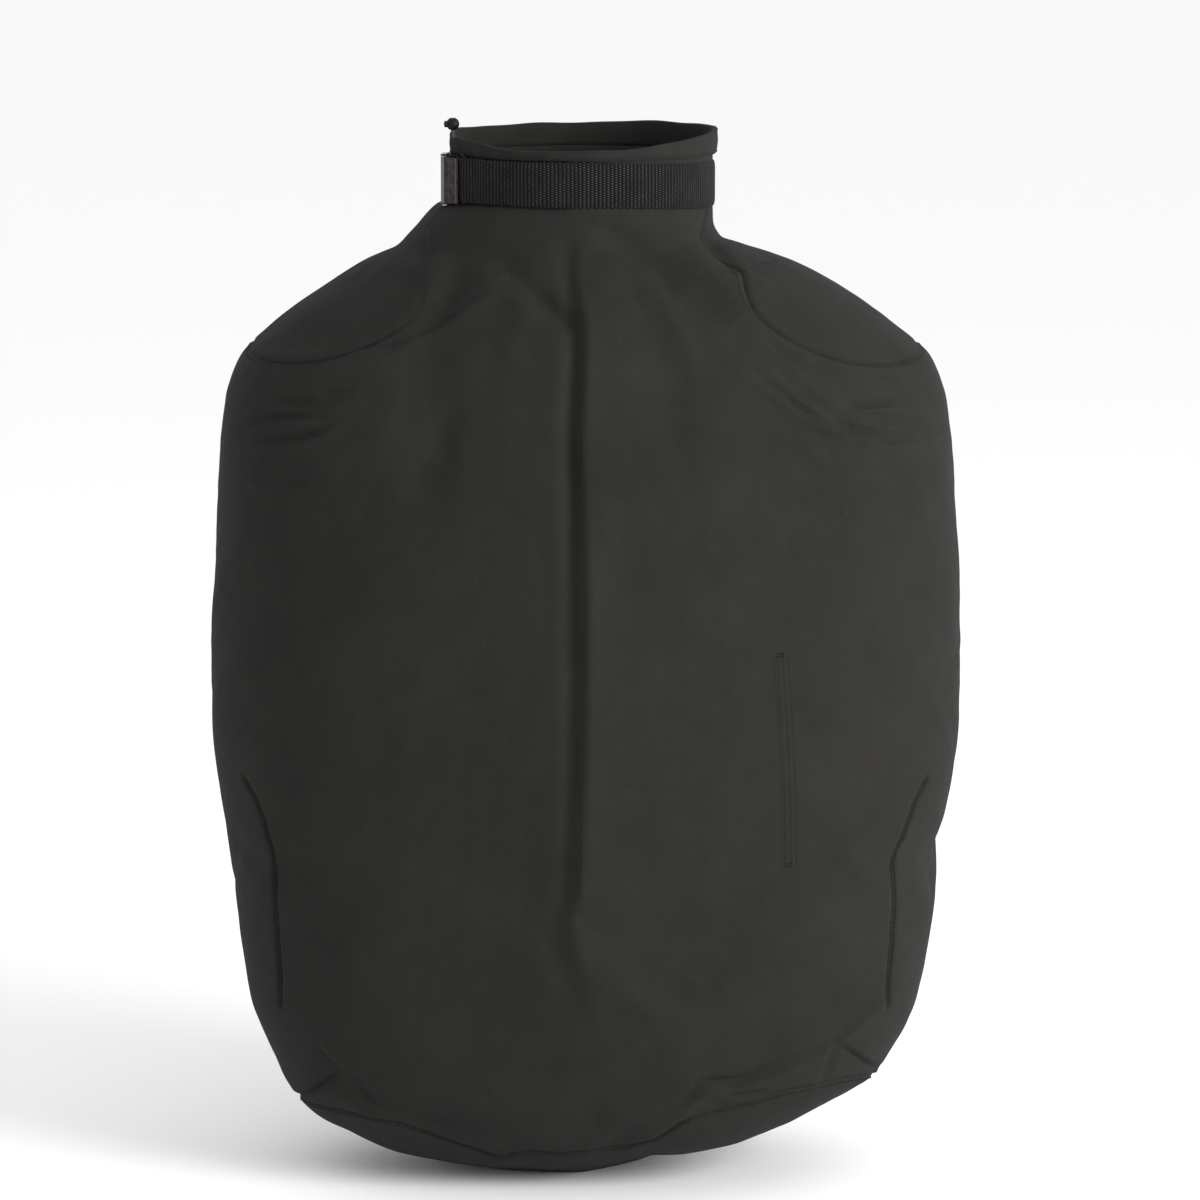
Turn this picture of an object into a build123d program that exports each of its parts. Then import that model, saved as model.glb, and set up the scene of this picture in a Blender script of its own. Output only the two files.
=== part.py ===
"""Cloth collection bag that hangs from a round outlet by a buckled webbing collar.

Millimetres. The origin is on the neck's axis at the strap's mid-height. +Z is up, -Y is the
bag's front and +X is its right-hand side as seen from the front.
"""

import math
import os

from build123d import *

# Neck, made to fit a 220 mm outlet
NECK_RADIUS = 110.0
SLEEVE_WALL = 2.4
SLEEVE_OUTER = NECK_RADIUS + SLEEVE_WALL
NECK_BOTTOM = -34.0
SLEEVE_TOP = 24.0
HEM_TOP = 36.0
HEM_OUTER = 118.4
HEM_WALL = 1.2
HEM_ROUNDING = 1.2

# Bag
WALL = 2.5
BAG_BOTTOM = -880.0
BASE_SEAM = -812.0
BASE_GAP = 0.6
BASE_INSET = 4.8
SECTION_COUNT = 20
REACH = 900.0
# The neck opening's inset at the sides and at the front and back, for each unit of the skin's depth
MOUTH_INSET_SIDES = 1.4
MOUTH_INSET_FACES = 1.1
MOUTH_OVERCUT = 1.0
# Outline: (height, half width) and (height, half depth)
WIDTH_OUTLINE = [
    (NECK_BOTTOM, 114.2),
    (-56, 140),
    (-78, 192),
    (-108, 244),
    (-142, 289),
    (-175, 310),
    (-240, 319),
    (-346, 324),
    (-462, 327),
    (-588, 313),
    (-714, 296),
    (-778, 272),
    (-815, 238),
    (-846, 180),
    (-868, 115),
    (BAG_BOTTOM, 66),
]
DEPTH_OUTLINE = [
    (NECK_BOTTOM, 114.2),
    (-62, 124),
    (-108, 150),
    (-178, 180),
    (-294, 197),
    (-462, 201),
    (-630, 192),
    (-735, 175),
    (-800, 146),
    (-842, 104),
    (-868, 66),
    (BAG_BOTTOM, 38),
]
# Shoulder seam on the right-hand side, as (x, z)
YOKE_SEAM = [
    (72, -20),
    (98, -70),
    (120, -106),
    (160, -130),
    (200, -145),
    (242, -151),
    (295, -147),
    (345, -136),
]
# Side gusset edge, as (y, z), from its top down to the base seam
GUSSET_EDGE = [(0, -475), (55, -492), (84, -530), (96, -600), (94, -660), (86, -720), (60, BASE_SEAM)]

# Sewn strips stand this far clear of the cloth under them
SEWN_GAP = 0.1

# Seam tapes, sewn inside
TAPE_THICKNESS = 1.0
TAPE_WIDTH = 18.0
TAPE_TOP = -48.0
TAPE_END_GAP = 2.0
SIDE_TAPE_END_GAP = 6.0

# Bar tacks: two at the slit and, as (y, z), one across each gusset's front edge
TACK_THICKNESS = 0.8
TACK_WIDTH = 2.4
SLIT_TACK_LENGTH = 9.0
GUSSET_TACK = (92, -676)
GUSSET_TACK_LENGTH = 20.0

# Slit on the front right panel, its ends as (x, z)
SLIT_TOP = (165, -388)
SLIT_BOTTOM = (173, -569)
WELT_WIDTH = 6.0
WELT_THICKNESS = 0.8

# Webbing strap, 38 mm
STRAP_WIDTH = 38.0
STRAP_THICKNESS = 1.8
STRAP_GAP = 0.2
STRAP_MIDDLE = SLEEVE_OUTER + STRAP_GAP + STRAP_THICKNESS / 2
STRAP_SECOND = STRAP_MIDDLE + STRAP_THICKNESS + STRAP_GAP
STRAP_THIRD = STRAP_SECOND + STRAP_THICKNESS + STRAP_GAP
# Angles round the neck from the buckle: where the strap's fold ends, where it lands and where the
# tail lands on it, where the tail steps down and where it ends
BACK_TANGENT_ANGLE = -27.7
FOLD_LANDS_ANGLE = 17.0
TAIL_LANDS_ANGLE = 23.0
FOLD_END_ANGLE = 24.0
STEP_TOP_ANGLE = 27.0
STEP_FOOT_ANGLE = 38.0
TAIL_END_ANGLE = 69.0
# The tail's ramp over the fold, and the rounding of its bends
TAIL_RAMP_FOOT, TAIL_RAMP_TOP = -6.0, -17.0
TAIL_BENDS = [8, 12, 12, 8]

# Strap keepers, by their angle round the neck
KEEPER_SWEEP = 10.0
KEEPER_THICKNESS = 1.0
KEEPER_FOOT_LENGTH = 8.0
KEEPER_EDGE_GAP = 0.4
KEEPER_TOP = 23.7
KEEPER_TACK_HEIGHTS = (-26.0, 22.2)
KEEPER_TACK_SIZE = (0.7, 1.8)
KEEPER_TACK_SWEEP = 8.0
KEEPER_ANGLES = {"keeper_back_right": 50.0, "keeper_back_left": 125.0}

# Cam buckle, built at the neck's left and then turned towards the front
BUCKLE_TURN = 18.0
PLATE_IN = -113.0
PLATE_THICKNESS = 1.5
PLATE_FRONT, PLATE_BACK = -24.0, 22.0
PLATE_HEIGHT = 46.0
PLATE_ROUNDING = 3.0
SLOT_FRONT, SLOT_BACK = -20.0, -15.5
SLOT_HEIGHT = 41.0
SLOT_ROUNDING = 0.8
EAR_INNER = 20.0
EAR_THICKNESS = 1.6
EAR_LENGTH = 22.0
EAR_TIP_RADIUS = 4.5
CAM_X, CAM_Y = -122.5, 4.0
PIN_RADIUS = 2.0
PIN_HEAD_RADIUS = 3.2
PIN_HEAD_HEIGHT = 1.2
PIN_HEAD_CHAMFER = 0.4
PIN_CLEARANCE = 0.05
CAM_HALF_WIDTH = 19.4
CAM_RADIUS = 4.4
# Thumb lever's outline round the cam's axis, from the cam out over the tail and back
LEVER_OUTLINE = [
    (-2.6, 3.2),
    (-4.4, 0),
    (-4.2, -8),
    (1.2, -24),
    (0.6, -29),
    (2.2, -29),
    (2.9, -24),
    (-2.4, -7.6),
    (-3.6, 0),
]
TOOTH_RADIUS = 5.7
TOOTH_COUNT = 5
TOOTH_PITCH = 16
TOOTH_SPREAD = 11
TOOTH_TAPER = 0.06
TOOTH_ROOT_DEPTH = 0.4
FIRST_TOOTH_ANGLE = -8
SPRING_POCKET = 5.0
SPRING_POCKET_RADIUS = 3.7
SPRING_WINDOW = (7.2, 14.0)
SPRING_WINDOW_SHIFT = (3.6, -1.0)
SPRING_WIRE = 0.8
SPRING_RADIUS = 2.9
SPRING_PITCH = 1.6
SPRING_LENGTH = 6.4

# Draw cord and its lock
CORD_RADIUS = 1.0
CORD_RING = 116.0
CORD_HEIGHT = 31.0
CORD_BEND = 4.0
CORD_SPREAD = 1.2
CORD_EXIT_ANGLE = 195.7
CORD_EXIT_LENGTH, CORD_EXIT_WIDTH = 6.4, 2.6
CORD_END_DEPTH = 0.4
LOCK_HEIGHT = 47.0
LOCK_RADIUS = 5.6
LOCK_PASSAGE = (5.2, 2.3)
LOCK_PASSAGE_ROUNDING = 1.1
LOCK_BORE = 2.9
LOCK_BORE_DEPTH = 4.1
PLUNGER_RADIUS = 2.75
PLUNGER_OUT = -7.4
PLUNGER_IN = 2.0
PLUNGER_SLOT_OUT, PLUNGER_SLOT_IN = -2.7, 1.12
PLUNGER_SLOT_LENGTH = 4.7
PLUNGER_CHAMFER = 0.5
LOCK_SPRING_GAP = 0.3
LOCK_SPRING_WIRE = 0.35
LOCK_SPRING_RADIUS = 1.9
LOCK_SPRING_PITCH = 0.72
LOCK_SPRING_LENGTH = 1.45

os.makedirs("parts", exist_ok=True)


def save(builder, name):
    """Labels a finished piece and writes it as its own STEP file."""
    builder.part.label = name
    export_step(builder.part, f"parts/{name}.step")


def smooth_through(outline, z):
    """Monotone cubic through the (height, value) points of an outline."""
    points = sorted(outline)
    heights = [p[0] for p in points]
    values = [p[1] for p in points]
    steps = [b - a for a, b in zip(heights, heights[1:])]
    slopes = [(b - a) / h for a, b, h in zip(values, values[1:], steps)]
    tangents = [slopes[0]]
    for h0, h1, s0, s1 in zip(steps, steps[1:], slopes, slopes[1:]):
        flat = s0 * s1 <= 0
        tangents.append(0.0 if flat else 3 * (h0 + h1) / ((2 * h1 + h0) / s0 + (h1 + 2 * h0) / s1))
    tangents.append(slopes[-1])
    i = min(len(steps) - 1, sum(1 for h in heights[1:-1] if z >= h))
    t = (z - heights[i]) / steps[i]
    from_values = (1 + 2 * t) * (1 - t) ** 2 * values[i] + t * t * (3 - 2 * t) * values[i + 1]
    from_slopes = t * (1 - t) ** 2 * tangents[i] + t * t * (t - 1) * tangents[i + 1]
    return from_values + steps[i] * from_slopes


def half_width(z):
    return smooth_through(WIDTH_OUTLINE, z)


def half_depth(z):
    return smooth_through(DEPTH_OUTLINE, z)


def section_heights(count):
    """Heights from neck to base, evenly spaced along the bag's side outline."""
    fine_count = 4000
    fine = [NECK_BOTTOM + (BAG_BOTTOM - NECK_BOTTOM) * i / fine_count for i in range(fine_count + 1)]
    run = [0.0]
    for a, b in zip(fine, fine[1:]):
        run.append(run[-1] + math.hypot(b - a, half_width(b) - half_width(a)))
    picked = []
    j = 0
    for k in range(count):
        while j < fine_count and run[j] < run[-1] * k / (count - 1) - 1e-9:
            j += 1
        picked.append(fine[j])
    return picked


def polar(radius, degrees, z=0.0):
    """Point at a radius and angle round the neck's axis."""
    angle = math.radians(degrees)
    return Vector(radius * math.cos(angle), radius * math.sin(angle), z)


# The bag's form, from which its shell and its tape layer are cut
with BuildPart() as bag_form:
    for level in section_heights(SECTION_COUNT):
        with BuildSketch(Plane.XY.offset(level)):
            Ellipse(half_width(level), half_depth(level))
    loft()


def grown_form(amount):
    """The bag's form with its surface moved outward by amount, or inward where it is negative."""
    with BuildPart() as grown:
        add(bag_form.part)
        offset(amount=amount, kind=Kind.INTERSECTION)
    return grown.part


def layer(outer, inner):
    """The skin between two offsets of the bag's form, open at the neck."""
    with BuildPart() as skin:
        add(bag_form.part if outer == 0 else grown_form(outer))
        add(grown_form(inner), mode=Mode.SUBTRACT)
        with BuildSketch(Plane.XY.offset(NECK_BOTTOM)):
            Rectangle(REACH, REACH)
        extrude(amount=REACH / 4, mode=Mode.SUBTRACT)
        with BuildSketch(Plane.XY.offset(NECK_BOTTOM)):
            Ellipse(
                half_width(NECK_BOTTOM) + inner * MOUTH_INSET_SIDES,
                half_depth(NECK_BOTTOM) + inner * MOUTH_INSET_FACES,
            )
        extrude(amount=-abs(inner) - MOUTH_OVERCUT, mode=Mode.SUBTRACT)
    return skin.part


def block(x_range, y_range, z_range):
    """Plain cutting block between the given limits."""
    with BuildPart() as cutter:
        with BuildSketch(Plane.XY.offset(z_range[0])):
            with Locations((sum(x_range) / 2, sum(y_range) / 2)):
                Rectangle(x_range[1] - x_range[0], y_range[1] - y_range[0])
        extrude(amount=z_range[1] - z_range[0])
    return cutter.part


def save_both(left, left_name, right_name):
    """Writes a left-hand piece, and its mirror image as the right-hand one."""
    save(left, left_name)
    with BuildPart() as right:
        mirror(left.part, about=Plane.YZ)
    save(right, right_name)


# ---------------------------------------------------------------- bag panels
shell = layer(0, -WALL)
above_base = (BASE_SEAM + BASE_GAP / 2, 0)

# everything above the left shoulder seam
with BuildPart() as yoke_region:
    with BuildSketch(Plane.XZ):
        with BuildLine():
            neck_end, side_end = YOKE_SEAM[0], YOKE_SEAM[-1]
            Spline([(-x, z) for x, z in YOKE_SEAM])
            Polyline(
                (-side_end[0], side_end[1]),
                (-REACH, side_end[1]),
                (-REACH, neck_end[1]),
                (-neck_end[0], neck_end[1]),
            )
        make_face()
    extrude(amount=REACH / 2, both=True)

# the lens-shaped lower left side, between the front and back panels
with BuildPart() as gusset_region:
    with BuildSketch(Plane.YZ):
        with BuildLine():
            edge = Spline([(-y, z) for y, z in GUSSET_EDGE[:0:-1]] + GUSSET_EDGE)
            Line(edge @ 1, edge @ 0)
        make_face()
    extrude(amount=-REACH / 2)

with BuildPart() as left_shoulder_yoke:
    add(shell)
    add(yoke_region.part, mode=Mode.INTERSECT)
save_both(left_shoulder_yoke, "left_shoulder_yoke", "right_shoulder_yoke")

with BuildPart() as left_side_gusset:
    add(shell)
    add(gusset_region.part, mode=Mode.INTERSECT)
    add(block((-REACH, 0), (-REACH, REACH), above_base), mode=Mode.INTERSECT)
save_both(left_side_gusset, "left_side_gusset", "right_side_gusset")

for face_name, y_range in (("front", (-REACH, 0)), ("back", (0, REACH))):
    with BuildPart() as panel:
        add(shell)
        add(block((-REACH, 0), y_range, above_base), mode=Mode.INTERSECT)
        add(yoke_region.part, mode=Mode.SUBTRACT)
        add(gusset_region.part, mode=Mode.SUBTRACT)
    save_both(panel, f"{face_name}_left_panel", f"{face_name}_right_panel")

# the base passes up inside the panels' lower edge when the bag is collapsed
with BuildPart() as base_panel:
    add(shell)
    with BuildSketch(Plane.XY.offset(BAG_BOTTOM - WALL)):
        Ellipse(half_width(BASE_SEAM) - BASE_INSET, half_depth(BASE_SEAM) - BASE_INSET)
    extrude(amount=BASE_SEAM - BASE_GAP / 2 - BAG_BOTTOM + WALL, mode=Mode.INTERSECT)
save(base_panel, "base_panel")

# ---------------------------------------------------------------- seam tapes
tape_layer = layer(-WALL - SEWN_GAP, -WALL - SEWN_GAP - TAPE_THICKNESS)
half_tape = TAPE_WIDTH / 2
middle_tape_heights = (BASE_SEAM + TAPE_END_GAP, TAPE_TOP)
middle_tapes = {"front_seam_tape": (-REACH, 0), "back_seam_tape": (0, REACH)}
for tape_name, y_range in middle_tapes.items():
    with BuildPart() as middle_tape:
        add(tape_layer)
        add(block((-half_tape, half_tape), y_range, middle_tape_heights), mode=Mode.INTERSECT)
    save(middle_tape, tape_name)

side_tape_heights = (GUSSET_EDGE[0][1] - SIDE_TAPE_END_GAP, YOKE_SEAM[-1][1] - SIDE_TAPE_END_GAP)
with BuildPart() as left_seam_tape:
    add(tape_layer)
    add(block((-REACH, 0), (-half_tape, half_tape), side_tape_heights), mode=Mode.INTERSECT)
save_both(left_seam_tape, "left_seam_tape", "right_seam_tape")

# ---------------------------------------------------------------- slit welt and panel bar tacks
welt_top = SEWN_GAP + WELT_THICKNESS
welt_layer = layer(welt_top, SEWN_GAP)
with BuildPart() as slit_welt:
    add(welt_layer)
    with BuildSketch(Plane.XZ):
        with BuildLine():
            Line(SLIT_TOP, SLIT_BOTTOM)
        trace(line_width=WELT_WIDTH)
    extrude(amount=REACH / 2, mode=Mode.INTERSECT)
save(slit_welt, "slit_welt")

with BuildPart() as slit_bar_tacks:
    add(layer(welt_top + SEWN_GAP + TACK_THICKNESS, welt_top + SEWN_GAP))
    with BuildSketch(Plane.XZ):
        with Locations(SLIT_TOP, SLIT_BOTTOM):
            Rectangle(SLIT_TACK_LENGTH, TACK_WIDTH)
    extrude(amount=REACH / 2, mode=Mode.INTERSECT)
save(slit_bar_tacks, "slit_bar_tacks")

with BuildPart() as gusset_bar_tacks:
    add(layer(SEWN_GAP + TACK_THICKNESS, SEWN_GAP))
    with BuildSketch(Plane.YZ):
        with Locations((-GUSSET_TACK[0], GUSSET_TACK[1])):
            Rectangle(GUSSET_TACK_LENGTH, TACK_WIDTH)
    extrude(amount=REACH / 2, both=True, mode=Mode.INTERSECT)
save(gusset_bar_tacks, "gusset_bar_tacks")

# ---------------------------------------------------------------- neck
with BuildPart() as neck_sleeve:
    with BuildSketch(Plane.XY.offset(NECK_BOTTOM)):
        Circle(SLEEVE_OUTER)
        Circle(NECK_RADIUS, mode=Mode.SUBTRACT)
    extrude(amount=SLEEVE_TOP - NECK_BOTTOM)
save(neck_sleeve, "neck_sleeve")

exit_point = polar(CORD_RING, CORD_EXIT_ANGLE)
exit_plane = Plane(
    origin=(exit_point.X, exit_point.Y, 0),
    x_dir=polar(1, CORD_EXIT_ANGLE + 90),
    z_dir=(0, 0, 1),
)
with BuildPart() as neck_hem:
    with BuildSketch(Plane.XZ):
        with Locations(((NECK_RADIUS + HEM_OUTER) / 2, (SLEEVE_TOP + HEM_TOP) / 2)):
            RectangleRounded(HEM_OUTER - NECK_RADIUS, HEM_TOP - SLEEVE_TOP, HEM_ROUNDING)
            RectangleRounded(
                HEM_OUTER - NECK_RADIUS - 2 * HEM_WALL,
                HEM_TOP - SLEEVE_TOP - 2 * HEM_WALL,
                HEM_ROUNDING,
                mode=Mode.SUBTRACT,
            )
    revolve(axis=Axis.Z)
    with BuildSketch(exit_plane.offset(HEM_TOP - 2 * HEM_WALL)):
        SlotOverall(CORD_EXIT_LENGTH, CORD_EXIT_WIDTH)
    extrude(amount=4 * HEM_WALL, mode=Mode.SUBTRACT)
save(neck_hem, "neck_hem")

# ---------------------------------------------------------------- webbing strap
# The strap's own frame has the buckle at the neck's left; angles here run from there to the front.


def from_left(radius, degrees):
    """Point on the neck, at an angle from its left towards its front."""
    return polar(radius, 180 + degrees)


PLATE_OUT = PLATE_IN - PLATE_THICKNESS
OVER_PLATE = PLATE_OUT - STRAP_GAP - STRAP_THICKNESS / 2
UNDER_BAR = PLATE_IN + STRAP_GAP + STRAP_THICKNESS / 2
OVER_FOLD = OVER_PLATE - STRAP_THICKNESS - 1.5 * STRAP_GAP
with BuildPart() as webbing_strap:
    with BuildSketch(Plane.XY.offset(-STRAP_WIDTH / 2)):
        # the fold round the buckle's bar
        with BuildLine():
            fold_sweep = FOLD_END_ANGLE - FOLD_LANDS_ANGLE
            fold_arc = CenterArc((0, 0), STRAP_SECOND, 180 + FOLD_LANDS_ANGLE, fold_sweep)
            down = Polyline(fold_arc @ 0, (OVER_PLATE, PLATE_FRONT - STRAP_GAP), (OVER_PLATE, SLOT_FRONT))
            turn = ThreePointArc(
                down @ 1,
                ((OVER_PLATE + UNDER_BAR) / 2, SLOT_FRONT + (UNDER_BAR - OVER_PLATE) / 2),
                (UNDER_BAR, SLOT_FRONT),
            )
            bar_angle = math.degrees(math.asin(-(PLATE_FRONT - 2) / STRAP_MIDDLE))
            Line(turn @ 1, from_left(STRAP_MIDDLE, bar_angle))
        trace(line_width=STRAP_THICKNESS)
        # once round the neck, by the front, the right and the back
        with BuildLine():
            CenterArc((0, 0), STRAP_MIDDLE, 180 + bar_angle, 360 - bar_angle + BACK_TANGENT_ANGLE)
        trace(line_width=STRAP_THICKNESS)
        # up over the plate, under the cam and over the fold
        with BuildLine():
            FilletPolyline(
                from_left(STRAP_MIDDLE, BACK_TANGENT_ANGLE),
                (OVER_PLATE, PLATE_BACK + STRAP_THICKNESS),
                (OVER_PLATE, TAIL_RAMP_FOOT),
                (OVER_FOLD, TAIL_RAMP_TOP),
                (OVER_FOLD, PLATE_FRONT),
                from_left(STRAP_THIRD, TAIL_LANDS_ANGLE),
                radius=TAIL_BENDS,
            )
        trace(line_width=STRAP_THICKNESS)
        # the tail, down onto the strap and along the front
        with BuildLine():
            CenterArc((0, 0), STRAP_THIRD, 180 + TAIL_LANDS_ANGLE, STEP_TOP_ANGLE - TAIL_LANDS_ANGLE)
        trace(line_width=STRAP_THICKNESS)
        with BuildLine():
            Line(from_left(STRAP_THIRD, STEP_TOP_ANGLE), from_left(STRAP_SECOND, STEP_FOOT_ANGLE))
            CenterArc((0, 0), STRAP_SECOND, 180 + STEP_FOOT_ANGLE, TAIL_END_ANGLE - STEP_FOOT_ANGLE)
        trace(line_width=STRAP_THICKNESS)
    extrude(amount=STRAP_WIDTH)
webbing_strap.part = webbing_strap.part.rotate(Axis.Z, BUCKLE_TURN)
save(webbing_strap, "webbing_strap")

# ---------------------------------------------------------------- strap keepers
keeper_foot = SLEEVE_OUTER + (SEWN_GAP + KEEPER_THICKNESS) / 2
keeper_web = STRAP_MIDDLE + STRAP_THICKNESS / 2 + STRAP_GAP + KEEPER_THICKNESS / 2
keeper_edge = STRAP_WIDTH / 2 + KEEPER_EDGE_GAP + KEEPER_THICKNESS / 2
tack_radius = keeper_foot + (KEEPER_THICKNESS + KEEPER_TACK_SIZE[0] + SEWN_GAP) / 2
for keeper_name, angle in KEEPER_ANGLES.items():
    start = angle - KEEPER_SWEEP / 2
    with BuildPart() as keeper:
        with BuildSketch(Plane(origin=(0, 0, 0), x_dir=polar(1, start), z_dir=polar(1, start - 90))):
            with BuildLine():
                Polyline(
                    (keeper_foot, KEEPER_TOP),
                    (keeper_foot, keeper_edge),
                    (keeper_web, keeper_edge),
                    (keeper_web, -keeper_edge),
                    (keeper_foot, -keeper_edge),
                    (keeper_foot, -keeper_edge - KEEPER_FOOT_LENGTH),
                )
            trace(line_width=KEEPER_THICKNESS)
        revolve(axis=Axis.Z, revolution_arc=KEEPER_SWEEP)
    save(keeper, keeper_name)

with BuildPart() as keeper_bar_tacks:
    for angle in KEEPER_ANGLES.values():
        start = angle - KEEPER_TACK_SWEEP / 2
        with BuildSketch(Plane(origin=(0, 0, 0), x_dir=polar(1, start), z_dir=polar(1, start - 90))):
            with Locations(*((tack_radius, height) for height in KEEPER_TACK_HEIGHTS)):
                Rectangle(*KEEPER_TACK_SIZE)
        revolve(axis=Axis.Z, revolution_arc=KEEPER_TACK_SWEEP)
save(keeper_bar_tacks, "keeper_bar_tacks")

# ---------------------------------------------------------------- cam buckle
pin_axis = Axis((CAM_X, CAM_Y, 0), (0, 0, 1))
with BuildPart() as buckle_frame:
    with BuildSketch(Plane.YZ.offset(PLATE_OUT)):
        with Locations(((PLATE_FRONT + PLATE_BACK) / 2, 0)):
            RectangleRounded(PLATE_BACK - PLATE_FRONT, PLATE_HEIGHT, PLATE_ROUNDING)
        with Locations(((SLOT_FRONT + SLOT_BACK) / 2, 0)):
            RectangleRounded(SLOT_BACK - SLOT_FRONT, SLOT_HEIGHT, SLOT_ROUNDING, mode=Mode.SUBTRACT)
    extrude(amount=PLATE_THICKNESS)
    for ear_bottom in (EAR_INNER, -EAR_INNER - EAR_THICKNESS):
        with BuildSketch(Plane.XY.offset(ear_bottom)):
            with BuildLine():
                ear_tip = CenterArc((CAM_X, CAM_Y), EAR_TIP_RADIUS, 90, 180)
                Polyline(
                    ear_tip @ 1,
                    (PLATE_OUT, CAM_Y - EAR_LENGTH / 2),
                    (PLATE_OUT, CAM_Y + EAR_LENGTH / 2),
                    ear_tip @ 0,
                )
            make_face()
            with Locations((CAM_X, CAM_Y)):
                Circle(PIN_RADIUS, mode=Mode.SUBTRACT)
        extrude(amount=EAR_THICKNESS)
buckle_frame.part = buckle_frame.part.rotate(Axis.Z, BUCKLE_TURN)
save(buckle_frame, "buckle_frame")

with BuildPart() as buckle_pin:
    with BuildSketch(Plane.XY.offset(-EAR_INNER - EAR_THICKNESS)):
        with Locations((CAM_X, CAM_Y)):
            Circle(PIN_RADIUS)
    extrude(amount=2 * (EAR_INNER + EAR_THICKNESS))
    for head_bottom in (EAR_INNER + EAR_THICKNESS, -EAR_INNER - EAR_THICKNESS - PIN_HEAD_HEIGHT):
        with BuildSketch(Plane.XY.offset(head_bottom)):
            with Locations((CAM_X, CAM_Y)):
                Circle(PIN_HEAD_RADIUS)
        extrude(amount=PIN_HEAD_HEIGHT)
    chamfer(buckle_pin.edges().group_by(Axis.Z)[-1], length=PIN_HEAD_CHAMFER)
    chamfer(buckle_pin.edges().group_by(Axis.Z)[0], length=PIN_HEAD_CHAMFER)
buckle_pin.part = buckle_pin.part.rotate(Axis.Z, BUCKLE_TURN)
save(buckle_pin, "buckle_pin")

with BuildPart() as buckle_cam:
    with BuildSketch(Plane.XY.offset(-CAM_HALF_WIDTH)):
        with Locations((CAM_X, CAM_Y)):
            Circle(CAM_RADIUS)
        # teeth on the strap side, from straight in round to the front
        centre = Vector(CAM_X, CAM_Y)
        for tooth in range(TOOTH_COUNT):
            tip_angle = FIRST_TOOTH_ANGLE - TOOTH_PITCH * tooth
            tip = centre + polar(TOOTH_RADIUS - TOOTH_TAPER * tooth, tip_angle)
            root_before = centre + polar(CAM_RADIUS - TOOTH_ROOT_DEPTH, tip_angle + TOOTH_SPREAD)
            root_after = centre + polar(CAM_RADIUS - TOOTH_ROOT_DEPTH, tip_angle - TOOTH_SPREAD)
            with BuildLine():
                Polyline(root_before, tip, root_after, (CAM_X, CAM_Y), close=True)
            make_face()
        # thumb lever, over the tail
        with BuildLine():
            Polyline(*((CAM_X + x, CAM_Y + y) for x, y in LEVER_OUTLINE), close=True)
        make_face()
    extrude(amount=2 * CAM_HALF_WIDTH)
    # pocket for the spring
    with BuildSketch(Plane.XY.offset(-SPRING_POCKET)):
        with Locations((CAM_X, CAM_Y)):
            Circle(SPRING_POCKET_RADIUS)
    extrude(amount=2 * SPRING_POCKET, mode=Mode.SUBTRACT)
    with BuildSketch(Plane.XY.offset(-SPRING_POCKET)):
        with Locations((CAM_X + SPRING_WINDOW_SHIFT[0], CAM_Y + SPRING_WINDOW_SHIFT[1])):
            Rectangle(*SPRING_WINDOW)
    extrude(amount=2 * SPRING_POCKET, mode=Mode.SUBTRACT)
    with BuildSketch(Plane.XY.offset(-CAM_HALF_WIDTH)):
        with Locations((CAM_X, CAM_Y)):
            Circle(PIN_RADIUS + PIN_CLEARANCE)
    extrude(amount=2 * CAM_HALF_WIDTH, mode=Mode.SUBTRACT)
buckle_cam.part = buckle_cam.part.rotate(Axis.Z, BUCKLE_TURN)
save(buckle_cam, "buckle_cam")

with BuildPart() as buckle_spring:
    with BuildLine():
        coil = Helix(
            pitch=SPRING_PITCH,
            height=SPRING_LENGTH,
            radius=SPRING_RADIUS,
            center=(CAM_X, CAM_Y, -SPRING_LENGTH / 2),
        )
    with BuildSketch(Plane(origin=coil @ 0, z_dir=coil % 0)):
        Circle(SPRING_WIRE / 2)
    sweep(path=coil)
buckle_spring.part = buckle_spring.part.rotate(Axis.Z, BUCKLE_TURN)
save(buckle_spring, "buckle_spring")

# ---------------------------------------------------------------- draw cord
bend_angle = math.degrees(math.asin((CORD_SPREAD + CORD_BEND) / CORD_RING))
cord_end_height = LOCK_HEIGHT + LOCK_RADIUS - CORD_END_DEPTH
half_bend = math.sin(math.radians(45))
with BuildPart() as draw_cord:
    with BuildLine() as cord_route:
        for way in (1, -1):
            joint = polar(CORD_RING, CORD_EXIT_ANGLE + way * bend_angle, CORD_HEIGHT)
            towards_exit = polar(CORD_BEND, CORD_EXIT_ANGLE + way * (bend_angle - 90))
            rise = joint + towards_exit + Vector(0, 0, CORD_BEND)
            middle = joint + towards_exit * half_bend + Vector(0, 0, CORD_BEND * (1 - half_bend))
            ThreePointArc(joint, middle, rise)
            Line(rise, (rise.X, rise.Y, cord_end_height))
        CenterArc((0, 0, CORD_HEIGHT), CORD_RING, CORD_EXIT_ANGLE + bend_angle, 360 - 2 * bend_angle)
    with BuildSketch(Plane(origin=(rise.X, rise.Y, cord_end_height), z_dir=(0, 0, -1))):
        Circle(CORD_RADIUS)
    sweep(path=cord_route.wires()[0])
save(draw_cord, "draw_cord")

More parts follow.
